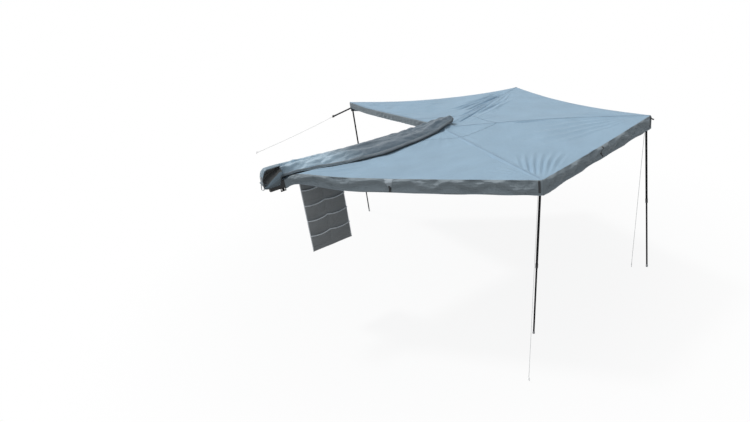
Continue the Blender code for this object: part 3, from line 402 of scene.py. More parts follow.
def weave(tree, place, pitch):
    """Threads over and under each other, pitch metres apart."""
    lines = []
    for axis in "XY":
        wave = add_node(
            tree, "ShaderNodeTexWave", {"Vector": place, "Scale": WAVE_LENGTH / pitch},
            wave_type="BANDS", bands_direction=axis, wave_profile="SIN",
        )
        lines.append(wave.outputs[1])
    return maths(tree, "MULTIPLY", *lines)


def cloth_material(name, colour, pitch, roughness, mottle, crease, sheen=0.15, painted_light=None):
    """Woven cloth: threads, a slight mottle and soft creases, and a paler band of painted light where
    one is given.
    """
    finish, tree, shader = new_tree(name)
    place = metres(tree)
    threads = weave(tree, place, pitch)
    broad = noise(tree, place, 2.2, 4.0)
    fine = noise(tree, place, 38.0, 3.0)
    base = add_node(tree, "ShaderNodeRGB").outputs[0]
    base.default_value = (*colour, 1.0)
    # painted light: the colour turns paler along a band of the cloth's length, standing in for light
    # that falls there
    if painted_light:
        along = add_node(tree, "ShaderNodeSeparateXYZ", {0: place}).outputs[1]
        paler, onset, wane, left = painted_light
        far = ranged(tree, along, *onset, 0.0, 1.0, interpolation_type="SMOOTHSTEP")
        less = ranged(tree, along, *wane, 1.0, left, interpolation_type="SMOOTHSTEP")
        base = colour_mix(tree, maths(tree, "MULTIPLY", far, less), base, paler)
    mottled = {0: base, "Scale": ranged(tree, broad, 0.0, 1.0, 1 - mottle, 1 + mottle)}
    shade = add_node(tree, "ShaderNodeVectorMath", mottled, operation="SCALE").outputs[0]
    thread_dark = maths(tree, "MULTIPLY", threads, 0.10)
    shade = colour_mix(tree, thread_dark, shade, tuple(c * 0.4 for c in colour))
    tree.links.new(shade, shader.inputs["Base Color"])
    rough = ranged(tree, fine, 0.0, 1.0, roughness - 0.05, min(1.0, roughness + 0.07))
    tree.links.new(rough, shader.inputs["Roughness"])
    shader.inputs["Sheen Weight"].default_value = sheen
    shader.inputs["Sheen Roughness"].default_value = 0.5
    creases = noise(tree, place, 11.0, 5.0, 0.2, 0.8, 0.6)
    normal = bumped(tree, creases, crease * 4)
    normal = bumped(tree, fine, crease * 0.5, after=normal)
    normal = bumped(tree, threads, pitch * 0.25, 0.6, after=normal)
    tree.links.new(normal, shader.inputs["Normal"])
    return finish


def hard_material(name, colour, roughness, metallic, grain, scuff, streak=False, shine=0.5):
    """Painted, bare or moulded hard stuff with grain, uneven gloss and scuffs."""
    finish, tree, shader = new_tree(name)
    stretch = (0.04, 1.0, 1.0) if streak else (1.0, 1.0, 1.0)
    place = metres(tree, stretch, flat=False)
    grains = noise(tree, place, grain, 2.0)
    patches = noise(tree, metres(tree, flat=False), 14.0, 4.0)
    darker, paler = tuple(c * 0.86 for c in colour), tuple(min(1, c * 1.12) for c in colour)
    shade = colour_mix(tree, patches, darker, paler)
    marks = noise(tree, metres(tree, (1.0, 1.0, 4.0), flat=False), 60.0, 6.0, 0.62, 0.72)
    shade = colour_mix(tree, maths(tree, "MULTIPLY", marks, 0.55), shade, scuff)
    tree.links.new(shade, shader.inputs["Base Color"])
    rough = ranged(tree, patches, 0.0, 1.0, roughness - 0.08, roughness + 0.10)
    tree.links.new(rough, shader.inputs["Roughness"])
    shader.inputs["Metallic"].default_value = metallic
    shader.inputs["Specular IOR Level"].default_value = shine
    normal = bumped(tree, grains, 0.00012)
    tree.links.new(normal, shader.inputs["Normal"])
    return finish


def dress_nodes():
    """Gives the solids that the frame brings their finishes."""
    for name, node in NODES.items():
        kind = "black_powder_coat"
        for words, found in NODE_FINISHES:
            if any(word in name for word in words):
                kind = found
        if node.data.materials:
            for holder in node.material_slots:
                holder.material = FINISH[kind]
        else:
            node.data.materials.append(FINISH[kind])


def fasten(piece, body, node=None):
    """Lets a piece move with a body, and hides the solid that it stands for."""
    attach(piece, body)
    if node:
        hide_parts(node)


def place_object(name, mesh, finish, smooth_angle=None):
    piece = add_object(name, mesh)
    mesh.materials.append(FINISH[finish])
    mesh.shade_smooth()
    if smooth_angle is not None:
        mesh.set_sharp_from_angle(angle=math.radians(smooth_angle))
    return piece


def grid_object(name, points, finish, thick=None, wrap=False, weights=None, other=None):
    """A cloth or band through rows and columns of points, with a map in metres for its weave.

    other is a second finish and the mask of the faces that have it. weights is not used.
    """
    points = np.asarray(points, float)
    rows, columns = points.shape[:2]
    index = np.arange(rows * columns).reshape(rows, columns)
    if wrap:
        index = np.concatenate([index, index[:, :1]], axis=1)
    quads = np.stack([index[:-1, :-1], index[1:, :-1], index[1:, 1:], index[:-1, 1:]], -1)
    mesh = bpy.data.meshes.new(name)
    mesh.from_pydata(points.reshape(-1, 3).tolist(), [], quads.reshape(-1, 4).tolist())
    along = np.zeros((rows, columns))
    across = np.zeros((rows, columns))
    along[1:] = np.cumsum(np.linalg.norm(np.diff(points, axis=0), axis=2), axis=0)
    across[:, 1:] = np.cumsum(np.linalg.norm(np.diff(points, axis=1), axis=2), axis=1)
    flat = np.stack([across, along], -1).reshape(-1, 2)
    corners = np.zeros(len(mesh.loops), np.int32)
    mesh.loops.foreach_get("vertex_index", corners)
    layer = mesh.uv_layers.new(name="metres")
    layer.data.foreach_set("uv", flat[corners].astype(np.float32).ravel())
    piece = place_object(name, mesh, finish)
    if other:
        mesh.materials.append(FINISH[other[0]])
        faces = np.broadcast_to(other[1], (rows - 1, quads.shape[1])).astype(np.int32)
        mesh.polygons.foreach_set("material_index", faces.ravel())
    if thick:
        solid = piece.modifiers.new("thickness", "SOLIDIFY")
        solid.thickness = thick
        solid.offset = -1.0
    return piece


def tube_object(name, path, radius, finish, sides=8, weights=None):
    """A closed tube round a line of points."""
    path = np.asarray(path, float)
    along = np.gradient(path, axis=0)
    along /= np.linalg.norm(along, axis=1)[:, None]
    side = np.cross(along, (0.0, 0.0, 1.0))
    side[np.linalg.norm(side, axis=1) < 1e-3] = (1.0, 0.0, 0.0)
    side /= np.linalg.norm(side, axis=1)[:, None]
    rise = np.cross(side, along)
    turn = np.linspace(0.0, -2 * math.pi, sides, endpoint=False)
    ring = np.cos(turn)[None, :, None] * side[:, None] + np.sin(turn)[None, :, None] * rise[:, None]
    piece = grid_object(
        name, path[:, None] + radius * ring, finish, wrap=True,
        weights=None if weights is None else weights[:, None],
    )
    built = bmesh.new()
    built.from_mesh(piece.data)
    built.verts.ensure_lookup_table()
    for first in (0, (len(path) - 1) * sides):
        built.faces.new([built.verts[i] for i in range(first, first + sides)])
    bmesh.ops.recalc_face_normals(built, faces=built.faces)
    built.to_mesh(piece.data)
    built.free()
    piece.data.shade_smooth()
    return piece


def smooth(value):
    value = np.clip(value, 0.0, 1.0)
    return value * value * (3 - 2 * value)


def straight_path(start, end, steps, sag=0.0):
    share = np.linspace(0.0, 1.0, steps)[:, None]
    line = np.asarray(start) + (np.asarray(end) - np.asarray(start)) * share
    line[:, 2:] -= sag * 4 * share * (1 - share)
    return line


# Canopy
def lane(key):
    return (ARMS.index(key) - (len(ARMS) - 1) / 2) * ARM_PITCH


def arm_axes(key):
    angle = math.radians(ARM_ANGLE[key])
    along = np.array([math.cos(angle), math.sin(angle), 0.0])
    return along, np.array([-along[1], along[0], 0.0])


def radius_at(key, share):
    return CLOTH_START + (ARM_REACH[key] + VALANCE_OUT - CLOTH_START) * share


def share_at(key, radius):
    return (radius - CLOTH_START) / (ARM_REACH[key] + VALANCE_OUT - CLOTH_START)


def spine(key, share):
    """The canopy's line over an arm, or over the rail for key a."""
    share = np.asarray(share, float)
    along, left = arm_axes(key)
    radius = radius_at(key, share)
    if key == "a":
        offset, run = RAIL_FRONT_Y - RAIL_EDGE_IN - HUB[1], RAIL_RUN
        lift = CORNER_LIFT[key] * smooth(radius / RAIL_RUN)
    else:
        offset, run = lane(key), OFFSET_RUN
        lift = CORNER_LIFT[key] * smooth((radius - (ARM_REACH[key] - LIFT_RUN)) / LIFT_RUN)
    side = offset * np.minimum(1.0, (radius - CLOTH_START) / run)
    if key == "e":
        lift = lift + OPEN_EDGE_LIFT * np.exp(-((radius / OPEN_EDGE_RUN) ** 2)) * smooth(radius / 0.25)
    elif key == "c":
        lift = CORNER_LIFT[key] * share + LONG_ARM_BOW * np.sin(math.pi * np.clip(share, 0, 1))
    height = CLOTH_TOP + lift + HUB_RISE * np.exp(-((radius / HUB_RISE_WIDTH) ** 2))
    point = HUB + radius[..., None] * along + side[..., None] * left
    point[..., 2] += height
    return point


def chord_of(name):
    return spine(name[1], 1.0) - spine(name[0], 1.0)


def edge_length(name):
    return float(np.linalg.norm(chord_of(name)))


def outward_of(name):
    chord = chord_of(name)
    outward = np.array([chord[1], -chord[0], 0.0])
    return outward / np.linalg.norm(outward)


def crease(x, y, start, end, width, height):
    """A long fold between two places in the plan. It fades at both ends."""
    run = np.subtract(end, start)
    length = np.hypot(*run)
    share = ((x - start[0]) * run[0] + (y - start[1]) * run[1]) / length**2
    aside = ((x - start[0]) * run[1] - (y - start[1]) * run[0]) / length
    return height * smooth(share / 0.25) * smooth((1 - share) / 0.25) * np.exp(-((aside / width) ** 2))


def fan(x, y, apex, toward, spread, count, near, far, height):
    """Folds that radiate from a place in the plan, between two distances from it."""
    dx, dy = x - apex[0], y - apex[1]
    radius = np.hypot(dx, dy)
    turn = np.arctan2(dy, dx) - math.radians(toward)
    turn = (turn + math.pi) % (2 * math.pi) - math.pi
    share = turn / math.radians(spread)
    run = far - near
    window = smooth((1 - np.abs(share)) / 0.35)
    window = window * smooth((radius - near) / (0.3 * run)) * smooth((far - radius) / (0.55 * run))
    ridges = 0.5 + 0.5 * np.cos(math.pi * count * share + 0.8 * np.sin(5.0 * radius))
    return height * window * (ridges**1.6 - 0.3)


def ripples(s, t, length, seed, count=14):
    """Soft uneven waves of about one unit, from a fixed seed."""
    draw = np.random.default_rng(seed)
    total = np.zeros(np.broadcast(s, t).shape)
    for _ in range(count):
        turn = draw.uniform(0, 2 * math.pi)
        wave = 2 * math.pi / (length * draw.uniform(0.55, 1.7))
        total += np.sin(wave * (s * math.cos(turn) + t * math.sin(turn)) + draw.uniform(0, 6.28))
    return total / math.sqrt(count)


# Each panel's fans of folds: apex, direction and spread in degrees, count, nearest, farthest, height
FANS = {
    "ab": [
        ((0.36, 2.42), -82.0, 20.0, 5, 0.10, 0.80, 0.006),
        ((2.07, 0.05), 152.0, 26.0, 5, 0.10, 1.20, 0.008),
    ],
    "bc": [
        ((0.80, 2.74), -140.5, 15.0, 7, 0.50, 1.45, 0.026),
        ((-1.78, 2.12), -33.0, 26.0, 6, 0.15, 1.80, 0.010),
    ],
    "cd": [
        ((-1.78, 2.12), -75.0, 22.0, 6, 0.12, 1.10, 0.007),
        ((-2.32, -0.54), 22.0, 12.0, 3, 0.15, 1.75, 0.014),
    ],
    "de": [
        ((-2.32, -0.54), 1.0, 17.0, 7, 0.15, 1.80, 0.007),
        ((-0.39, -2.46), 115.0, 26.0, 6, 0.15, 1.60, 0.010),
    ],
}
HUB_FAN = (HUB[:2], 90.0, 178.0, 30, 0.30, 0.95, 0.0035)
# Each panel's single folds: start, end, width, height
CREASES = {
    "cd": [
        ((-0.48, 0.125), (-1.52, -0.235), 0.016, -0.030),
        ((-0.88, 0.045), (-1.85, -0.200), 0.018, -0.018),
        ((-0.60, 0.22), (-1.85, -0.10), 0.026, 0.010),
    ],
    "de": [
        ((-0.95, -0.165), (-2.18, -0.535), 0.020, -0.044),
        ((-0.92, -0.270), (-2.16, -0.545), 0.022, -0.040),
        ((-0.90, -0.430), (-2.14, -0.585), 0.026, -0.036),
        ((-0.95, -0.560), (-2.08, -0.625), 0.026, -0.028),
        ((-0.72, -0.120), (-1.62, -0.310), 0.016, -0.018),
    ],
    "bc": [
        ((-0.78, 0.86), (-1.10, 1.26), 0.018, -0.022),
        ((-1.08, 1.22), (-1.30, 1.55), 0.014, -0.016),
        ((-1.00, 1.12), (-1.75, 1.98), 0.030, 0.008),
    ],
    "ab": [
        ((0.13, 1.40), (0.24, 1.80), 0.012, -0.010),
        ((0.22, 1.86), (0.32, 2.20), 0.012, -0.010),
    ],
}


def cloth_folds(name, x, y, share, u):
    """Height of the folds that the tension of the open awning pulls into each panel."""
    height = CLOTH_RIPPLE * ripples(x, y, 0.50, 3)
    for folds in [HUB_FAN, *FANS[name]]:
        height = height + fan(x, y, *folds)
    for fold in CREASES[name]:
        height = height + crease(x, y, *fold)
    if name == "de":
        window = smooth((share - 0.35) / 0.25) * smooth((u - 0.35) / 0.2) * smooth((1 - u) / 0.1)
        wave = np.sin(2 * math.pi * (OPEN_FOLD_COUNT * share + 0.4 * np.sin(4 * u)))
        height = height + OPEN_FOLD_HEIGHT * window * wave
    return height


def arm_groove(aside):
    """The dip beside an arm or the rail, where the stretched cloth leaves the tube."""
    near = smooth((aside - ARM_WIDTH / 2) / 0.035)
    return -GROOVE_DEPTH * near * np.exp(-np.maximum(aside - 0.048, 0.0) / 0.10)


def panel_point(name, share, u):
    """A point on a panel's upper face: share runs from the hub to the edge, u between its arms."""
    share, u = np.broadcast_arrays(np.asarray(share, float), np.asarray(u, float))
    start, end = spine(name[0], share), spine(name[1], share)
    span = end - start
    width = np.linalg.norm(span, axis=-1)
    rest = np.minimum(0.12, TUBE_REST / width)
    free = np.clip((u - rest) / (1 - 2 * rest), 0.0, 1.0)
    skew = math.log(0.5) / math.log(EDGE_PEAK[name])
    cut = EDGE_CUT[name] * np.sin(math.pi * free**skew) * share**3
    point = start + span * u[..., None] - outward_of(name) * cut[..., None]
    sag = EDGE_SAG[name] * share**2 + BELLY * 4 * share * (1 - share)
    point[..., 2] -= sag * 4 * free * (1 - free)
    if name[0] == "a":
        rise = free / EDGE_RISE_SHARE * np.exp(1 - free / EDGE_RISE_SHARE)
        point[..., 2] += EDGE_RISE * rise * share**4
    aside = np.minimum(u, 1 - u) * width
    clear = smooth((aside - ARM_WIDTH / 2) / 0.045)
    edge = 1 - 0.80 * smooth((share - 0.9) / 0.1)
    point[..., 2] += clear * edge * cloth_folds(name, point[..., 0], point[..., 1], share, u)
    point[..., 2] += edge * smooth(share / 0.15) * arm_groove(aside)
    return point


def polar(point, key):
    """Distance from the hub's axis, and angle from an arm's line."""
    x, y = point[..., 0] - HUB[0], point[..., 1] - HUB[1]
    turn = np.arctan2(y, x) - math.radians(ARM_ANGLE[key])
    return np.hypot(x, y), (turn + math.pi) % (2 * math.pi) - math.pi


def panel_weight(name, share, u, point):
    """How far a point turns with the second arm, so that the closed panel lies between the arms."""
    first, second = name
    share, u = np.broadcast_arrays(np.asarray(share, float), np.asarray(u, float))
    start, end = spine(first, share), spine(second, share)
    width = np.linalg.norm(end - start, axis=-1)
    near_radius, near_turn = polar(start, first)
    far_radius, far_turn = polar(end, second)
    near, far = near_radius * np.sin(near_turn), far_radius * np.sin(far_turn)
    middle = (near + far) / 2 + LAYER_GAP * (2 * u - 1)
    target = near + (middle - near) * smooth(u * width / 0.05)
    target = far + (target - far) * smooth((1 - u) * width / 0.05)
    radius, turn = polar(point, first)
    gap = math.radians(ARM_ANGLE[second] - ARM_ANGLE[first])
    return (turn - np.arcsin(np.clip(target / radius, -0.95, 0.95))) / gap


def corner_way(first_name, second_name):
    """The mitre between two panels' outward directions."""
    one, two = outward_of(first_name), outward_of(second_name)
    way = one + two
    return way / (way @ way) * 2


def valance_way(name, u):
    """The direction in which a panel's hanging edge stands off, square to it or mitred at a corner."""
    u = np.asarray(u, float)[..., None]
    out = outward_of(name)
    place = PANELS.index(name)
    way = np.broadcast_to(out, (*u.shape[:-1], 3)).copy()
    if place > 0:
        way += (corner_way(PANELS[place - 1], name) - out) * (1 - smooth(u / 0.03))
    if place < len(PANELS) - 1:
        way += (corner_way(name, PANELS[place + 1]) - out) * smooth((u - 0.97) / 0.03)
    return way


def edge_weight(name, u):
    return panel_weight(name, 1.0, u, panel_point(name, 1.0, u))


def valance_point(name, u, v, lift=0.0):
    """A point on the hanging edge of a panel: v is 0 at the canopy and 1 at the hem."""
    u, v = np.broadcast_arrays(np.asarray(u, float), np.asarray(v, float))
    edge = panel_point(name, 1.0, u)
    drop = np.full(u.shape, VALANCE_DROP)
    if name[0] == "a":
        growth = VALANCE_DROP - VALANCE_FRONT_DROP
        drop = VALANCE_FRONT_DROP + growth * np.minimum(1, u / VALANCE_FRONT_RUN)
    drop = drop - VALANCE_LIFT[name] * np.sin(math.pi * np.clip(u, 0, 1))
    phase = 6 * math.pi * u + 2 + ARMS.index(name[1])
    fade = smooth(u / 0.05) * smooth((1 - u) / 0.05)
    stand = VALANCE_FLARE * (1 - np.exp(-v / 0.05))
    stand = stand + fade * VALANCE_WAVE * v * np.sin(phase * np.sin(math.pi * u) + 1.2 * v)
    s, t = u * edge_length(name), v * VALANCE_DROP
    place = PANELS.index(name)
    puckers = ripples(s - 0.9 * t, 1.6 * t, 0.085, 11 + place, 16)
    broad = ripples(s + 0.5 * t, 0.8 * t, 0.26, 31 + place, 10)
    body = smooth(v / 0.10) * smooth((1.04 - v) / 0.16)
    wander = 0.30 * ripples(s * 0.5, 0 * s, 0.26, 51 + place, 9)
    bands = np.sin(2 * math.pi * (1.15 * v - 0.05 + wander))
    relief = VALANCE_PUCKER * (0.6 - np.abs(puckers)) + VALANCE_BROAD * broad + VALANCE_BAND * bands
    stand = stand + fade * body * relief
    stand = stand + 0.0012 * smooth((v - 0.865) / 0.02) + lift
    point = edge + valance_way(name, u) * stand[..., None]
    point[..., 2] -= drop * v
    return point


def bend_on(piece, name):
    """Bakes the placement of a piece of a panel into its mesh."""
    tuple(spine(name[0], 1.0))
    tuple(spine(name[1], 1.0))
    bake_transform(piece)


def uneven(count, gather):
    """Shares from 0 to 1 that lie closer together at both ends."""
    even = np.linspace(0.0, 1.0, count)
    return even * (1 - gather) + gather * (0.5 - 0.5 * np.cos(math.pi * even))


# How the last panel's edge turns down over arm e: distance past its line, and drop
TURNED_OUT = (0.0035, 0.0075, 0.0120, 0.0150, 0.0168)
TURNED_DOWN = (0.0, 0.0, 0.0002, 0.0012, 0.0035)


def make_panel(name):
    share = (np.linspace(0.0, 1.0, PANEL_ROWS) ** 1.25)[:, None]
    u = uneven(PANEL_COLUMNS, PANEL_GATHER)[None, :]
    v = (np.linspace(0.0, 1.0, VALANCE_ROWS + 1)[1:] ** 1.15)[:, None]
    top = panel_point(name, share, u)
    weights = panel_weight(name, share, u, top)
    hanging = valance_point(name, u, v)
    hang_weights = np.broadcast_to(weights[-1:], (VALANCE_ROWS, PANEL_COLUMNS))
    if name == "de":
        over = np.array(TURNED_OUT)[:, None] * arm_axes("e")[1]
        side = top[:, -1:] + over
        side[..., 2] -= TURNED_DOWN
        top = np.concatenate([top, side], axis=1)
        hanging = np.concatenate([hanging, hanging[:, -1:] + over], axis=1)
        turned = len(TURNED_OUT)
        weights = np.concatenate([weights, np.ones((PANEL_ROWS, turned))], axis=1)
        hang_weights = np.concatenate([hang_weights, np.ones((VALANCE_ROWS, turned))], axis=1)
    points = np.concatenate([top, hanging])
    # the hanging rows take the darker copy of the canvas, painted shade
    painted_shade_faces = (np.arange(len(points) - 1) >= PANEL_ROWS - 1)[:, None]
    piece = grid_object(
        f"canopy_panel_{name}", points, "canvas", CANVAS_THICK,
        weights=np.concatenate([weights, hang_weights]), other=("canvas_edge", painted_shade_faces),
    )
    bend_on(piece, name)
    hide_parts(f"canopy_{name}")
    edge_length(name)


def hub_patch_seam(name):
    """The seam along the edge of the patch round the hub, where it crosses a panel."""
    u = uneven(PANEL_COLUMNS, PANEL_GATHER)
    near, far = (share_at(key, HUB_PATCH[key]) for key in name)
    middle = near * (1 - u) + far * u
    depth = float(np.mean([ARM_REACH[key] for key in name]))
    rows = []
    weights = []
    for aside in (-1, -0.3, 0.3, 1):
        share = middle + HUB_PATCH_HALF * aside / depth
        point = panel_point(name, share, u)
        weights.append(panel_weight(name, share, u, point))
        point[..., 2] += TAPE_LIFT + TAPE_THICK
        rows.append(point)
    piece = grid_object(
        f"hub_patch_seam_{name}", rows, "seam_tape", TAPE_THICK, weights=np.array(weights)
    )
    bend_on(piece, name)


def arm_seam(key):
    """The taped seam over an arm, where two panels meet, slightly drawn up by its stitches."""
    line = spine(key, np.linspace(0.035, 1.0, 150))
    left = arm_axes(key)[1]
    radius = polar(line, key)[0]
    points = np.array([line + left * ARM_SEAM_HALF * side for side in (1, 0.4, -0.4, -1)])
    pucker = SEAM_PUCKER * np.sin(radius * 61.0) ** 2 * np.sin(radius * 5.3) ** 2
    points[..., 2] += TAPE_LIFT + TAPE_THICK + pucker
    piece = grid_object(f"arm_seam_{key}", points, "canvas_tape", TAPE_THICK)
    fasten(piece, f"arm_{key}")


def make_skirt():
    """The cloth's last edge: it folds over the last arm and hangs down its open side."""
    share = np.linspace(0.045, 1.0, 190)
    line = spine("e", share)
    left = arm_axes("e")[1]
    radius = radius_at("e", share)
    grow = smooth((radius - SKIRT_START) / SKIRT_START)
    drop = SKIRT_HEM + (SKIRT_DROP - SKIRT_HEM) * grow
    beside_leg = smooth((SKIRT_LEG_PLACE - radius) / SKIRT_LEG_RUN)
    over = ARM_WIDTH / 2 + SKIRT_CLEAR + SKIRT_LEG_ROOM * beside_leg
    rows = []
    for v in np.linspace(0.0, 1.0, 15):
        out = over + 0.0015 + 0.004 * v * grow * (1 - share) * np.sin(radius * 11.0)
        pucker = ripples(radius - 0.8 * v * SKIRT_DROP, v * 0.15, 0.075, 57)
        slack = 0.0030 * smooth((1 - share) / 0.03) * (0.35 + 0.65 * smooth((1.85 - radius) / 0.15))
        out = out + slack * grow * smooth(v / 0.3) * pucker
        out = out - 0.0040 * (1 - smooth(v / 0.06))
        point = line + left * out[:, None]
        point[:, 2] -= 0.0035 * smooth(v / 0.05) + drop * v
        rows.append(point)
    points = np.array(rows)[::-1]
    # the skirt takes the darker copy of the canvas, painted shade
    piece = grid_object("canopy_skirt", points, "canvas_edge", CANVAS_THICK)
    fasten(piece, "arm_e")
    hem = tube_object("canopy_skirt_hem", points[0], HEM_RADIUS, "canvas_hem", 6)
    fasten(hem, "arm_e")


def make_valance_hems():
    for name in PANELS:
        u = uneven(150, 0.3)
        path = valance_point(name, u, 1.0, lift=-CANVAS_THICK / 2)
        hem = tube_object(
            f"canopy_hem_{name}", path, HEM_RADIUS, "canvas_hem", 6, edge_weight(name, u)
        )
        bend_on(hem, name)


# Pieces sewn on the hanging edges: label, panel, place along the edge, from where to where down it,
# half widths above and below, how far they stand off, thickness and finish
VALANCE_BANDS = (
    ("valance_patch", "ab", 0.441, (0.02, 0.60), (0.060, 0.020), 0.0022, 0.0016, "patch_cloth"),
    ("valance_strap", "ab", 0.441, (0.50, 0.98), (0.014, 0.014), 0.0045, 0.0020, "faded_web"),
    ("valance_strap", "bc", 0.50, (0.02, 0.85), (0.012, 0.012), 0.0030, 0.0020, "faded_web"),
    *(
        ("corner_strap", name, 0.988, (0.02, 0.85), (0.010, 0.010), 0.0030, 0.0020, "faded_web")
        for name in PANELS[:-1]
    ),
)


def valance_band(label, name, u_middle, v_range, half_widths, lift, thick, finish):
    """A patch or strap on a panel's hanging edge."""
    v = np.linspace(*v_range, 14)[:, None]
    half = np.interp(v, v_range, half_widths) / edge_length(name)
    u = u_middle + half * np.linspace(-1, 1, 7)[None, :]
    points = valance_point(name, u, v, lift=lift)
    piece = grid_object(f"{label}_{name}", points, finish, thick, weights=edge_weight(name, u))
    bend_on(piece, name)


# The loose strap end's line: distance past the arm's end, and height
STRAP_TAIL = ((-0.004, -0.016), (0.008, -0.026), (0.020, -0.040), (0.034, -0.047), (0.042, -0.046))


def make_strap_tail(key):
    """The loose end of a corner's strap, which stands off the arm's end on its edge."""
    along, left = arm_axes(key)
    line = rounded(STRAP_TAIL, np.linspace(0.0, len(STRAP_TAIL) - 1, 25))
    rows = []
    for aside in (-0.008, 0.0, 0.008):
        row = spine(key, 1.0) + along * line[:, :1] + left * aside * 0.3
        row[:, 2] += line[:, 1] + aside - 0.004
        rows.append(row)
    tail = grid_object(f"corner_strap_tail_{key}", rows, "black_web", WEBBING_THICK)
    fasten(tail, f"arm_{key}")


# Bag cover
# The corner of the cover that stands up beside the hub: x, y, height and width
COVER_PEAK = (-0.43, 0.10, 0.045, 0.055)
COVER_RISE_WIDTH = 0.20
# Single folds: start and end, each by x and the place across the cloth, then width in places, height
COVER_FOLDS = [
    ((0.15, 7.0), (1.75, 6.5), 0.36, -0.021),
    ((0.05, 8.0), (1.85, 7.4), 0.40, 0.013),
    ((0.60, 5.7), (1.60, 6.2), 0.25, 0.009),
    ((-0.30, 6.2), (0.60, 7.2), 0.35, -0.014),
    ((-0.35, 7.3), (0.40, 8.2), 0.25, 0.010),
    ((1.35, 6.3), (1.75, 5.6), 0.18, -0.007),
    ((1.20, 7.6), (2.00, 6.2), 0.20, 0.008),
]


def cover_controls(x):
    """The cover's section at x in (y, z), from its hem on the rail over its ridge to its free edge."""
    share = (x - COVER_START) / (COVER_END - COVER_START)
    ridge, edge, edge_z = COVER_PROFILE[-1][1:]
    for (s0, *near), (s1, *far) in zip(COVER_PROFILE, COVER_PROFILE[1:]):
        if share <= s1:
            step = (share - s0) / (s1 - s0)
            step = (float(smooth(step)) + step) / 2
            ridge, edge, edge_z = (low + (high - low) * step for low, high in zip(near, far))
            break
    hem_z = RAIL_TOP + TRACK_HEIGHT + 0.0005
    width = edge - COVER_RIDGE_Y
    fall_off = ridge - edge_z
    ripple = 0.006 * math.sin(x * 9.0) + 0.004 * math.sin(x * 23.0 + 1.0)
    spread = float(smooth((x - COVER_FALL_START) / COVER_FALL_RUN))
    fall = float(smooth((x - COVER_FALL_START - COVER_FALL_RUN) / COVER_FALL_RUN))
    thrown = [
        (RAIL_FRONT_Y - COVER_HEM_IN, hem_z),
        (COVER_FOOT_Y - 0.010, hem_z),
        (COVER_RIDGE_Y * 0.55, hem_z + 0.010),
        (COVER_RIDGE_Y * 0.95, hem_z + (ridge - hem_z) * 0.45),
        (COVER_RIDGE_Y * 0.90, hem_z + (ridge - hem_z) * 0.80),
        (COVER_RIDGE_Y + width * 0.10, ridge),
        (COVER_RIDGE_Y + width * 0.28, ridge - fall_off * 0.20 + ripple),
        (COVER_RIDGE_Y + width * 0.52, ridge - fall_off * 0.32 - ripple + COVER_SWELL),
        (COVER_RIDGE_Y + width * 0.78, ridge - fall_off * 0.62 + ripple * 0.4 + COVER_SWELL * 0.8),
        (COVER_RIDGE_Y + width, edge_z + 0.006 - COVER_EDGE_SINK),
    ]
    face = COVER_FALL_FACE
    nose_y = face - 0.010
    lip = max(COVER_LIP_LOW, COVER_LIP_Z - (x - COVER_FALL_START) * COVER_LIP_SLOPE)
    ridge += POUCH_RISE
    fallen = thrown[:5] + [
        (COVER_RIDGE_Y * 0.3, ridge),
        (face * 0.8, ridge * 0.96),
        (COVER_RIDGE_Y * 0.4, (ridge * 0.80 + lip) / 2),
        (face, lip),
        (face, COVER_FALL_Z),
    ]
    closing = min(1.0, max(0.0, (x - COVER_END + COVER_NOSE) / COVER_NOSE))
    keep = COVER_NOSE_KEEP + (1 - COVER_NOSE_KEEP) * math.sqrt(1 - closing**2)
    rise = (HUB_RISE + 0.006) * math.exp(-((x - HUB[0]) ** 2) / COVER_RISE_WIDTH**2)
    section = []
    for (y0, z0), (y1, z1) in zip(thrown, fallen):
        drop = spread if y1 < face * 0.9 and z1 >= ridge * 0.95 else fall
        y, z = y0 + (y1 - y0) * spread, z0 + (z1 - z0) * drop
        z += rise * math.exp(-((y - HUB[1]) ** 2) / COVER_RISE_WIDTH**2)
        if len(section) > 2:
            y, z = nose_y + (y - nose_y) * keep, z * keep
        section.append((y, z))
    return section


def rounded(controls, places):
    """Points on a smooth line through control points, at places from 0 to their number less 1."""
    controls = np.asarray(controls, float)
    before, after = 2 * controls[:1] - controls[1:2], 2 * controls[-1:] - controls[-2:-1]
    padded = np.concatenate([before, controls, after])
    whole = np.minimum(places.astype(int), len(controls) - 2)
    t = (places - whole)[:, None]
    p0, p1, p2, p3 = (padded[whole + i] for i in range(4))
    bend = (2 * p0 - 5 * p1 + 4 * p2 - p3) * t**2 + (3 * p1 - p0 - 3 * p2 + p3) * t**3
    return 0.5 * (2 * p1 + (p2 - p0) * t + bend)


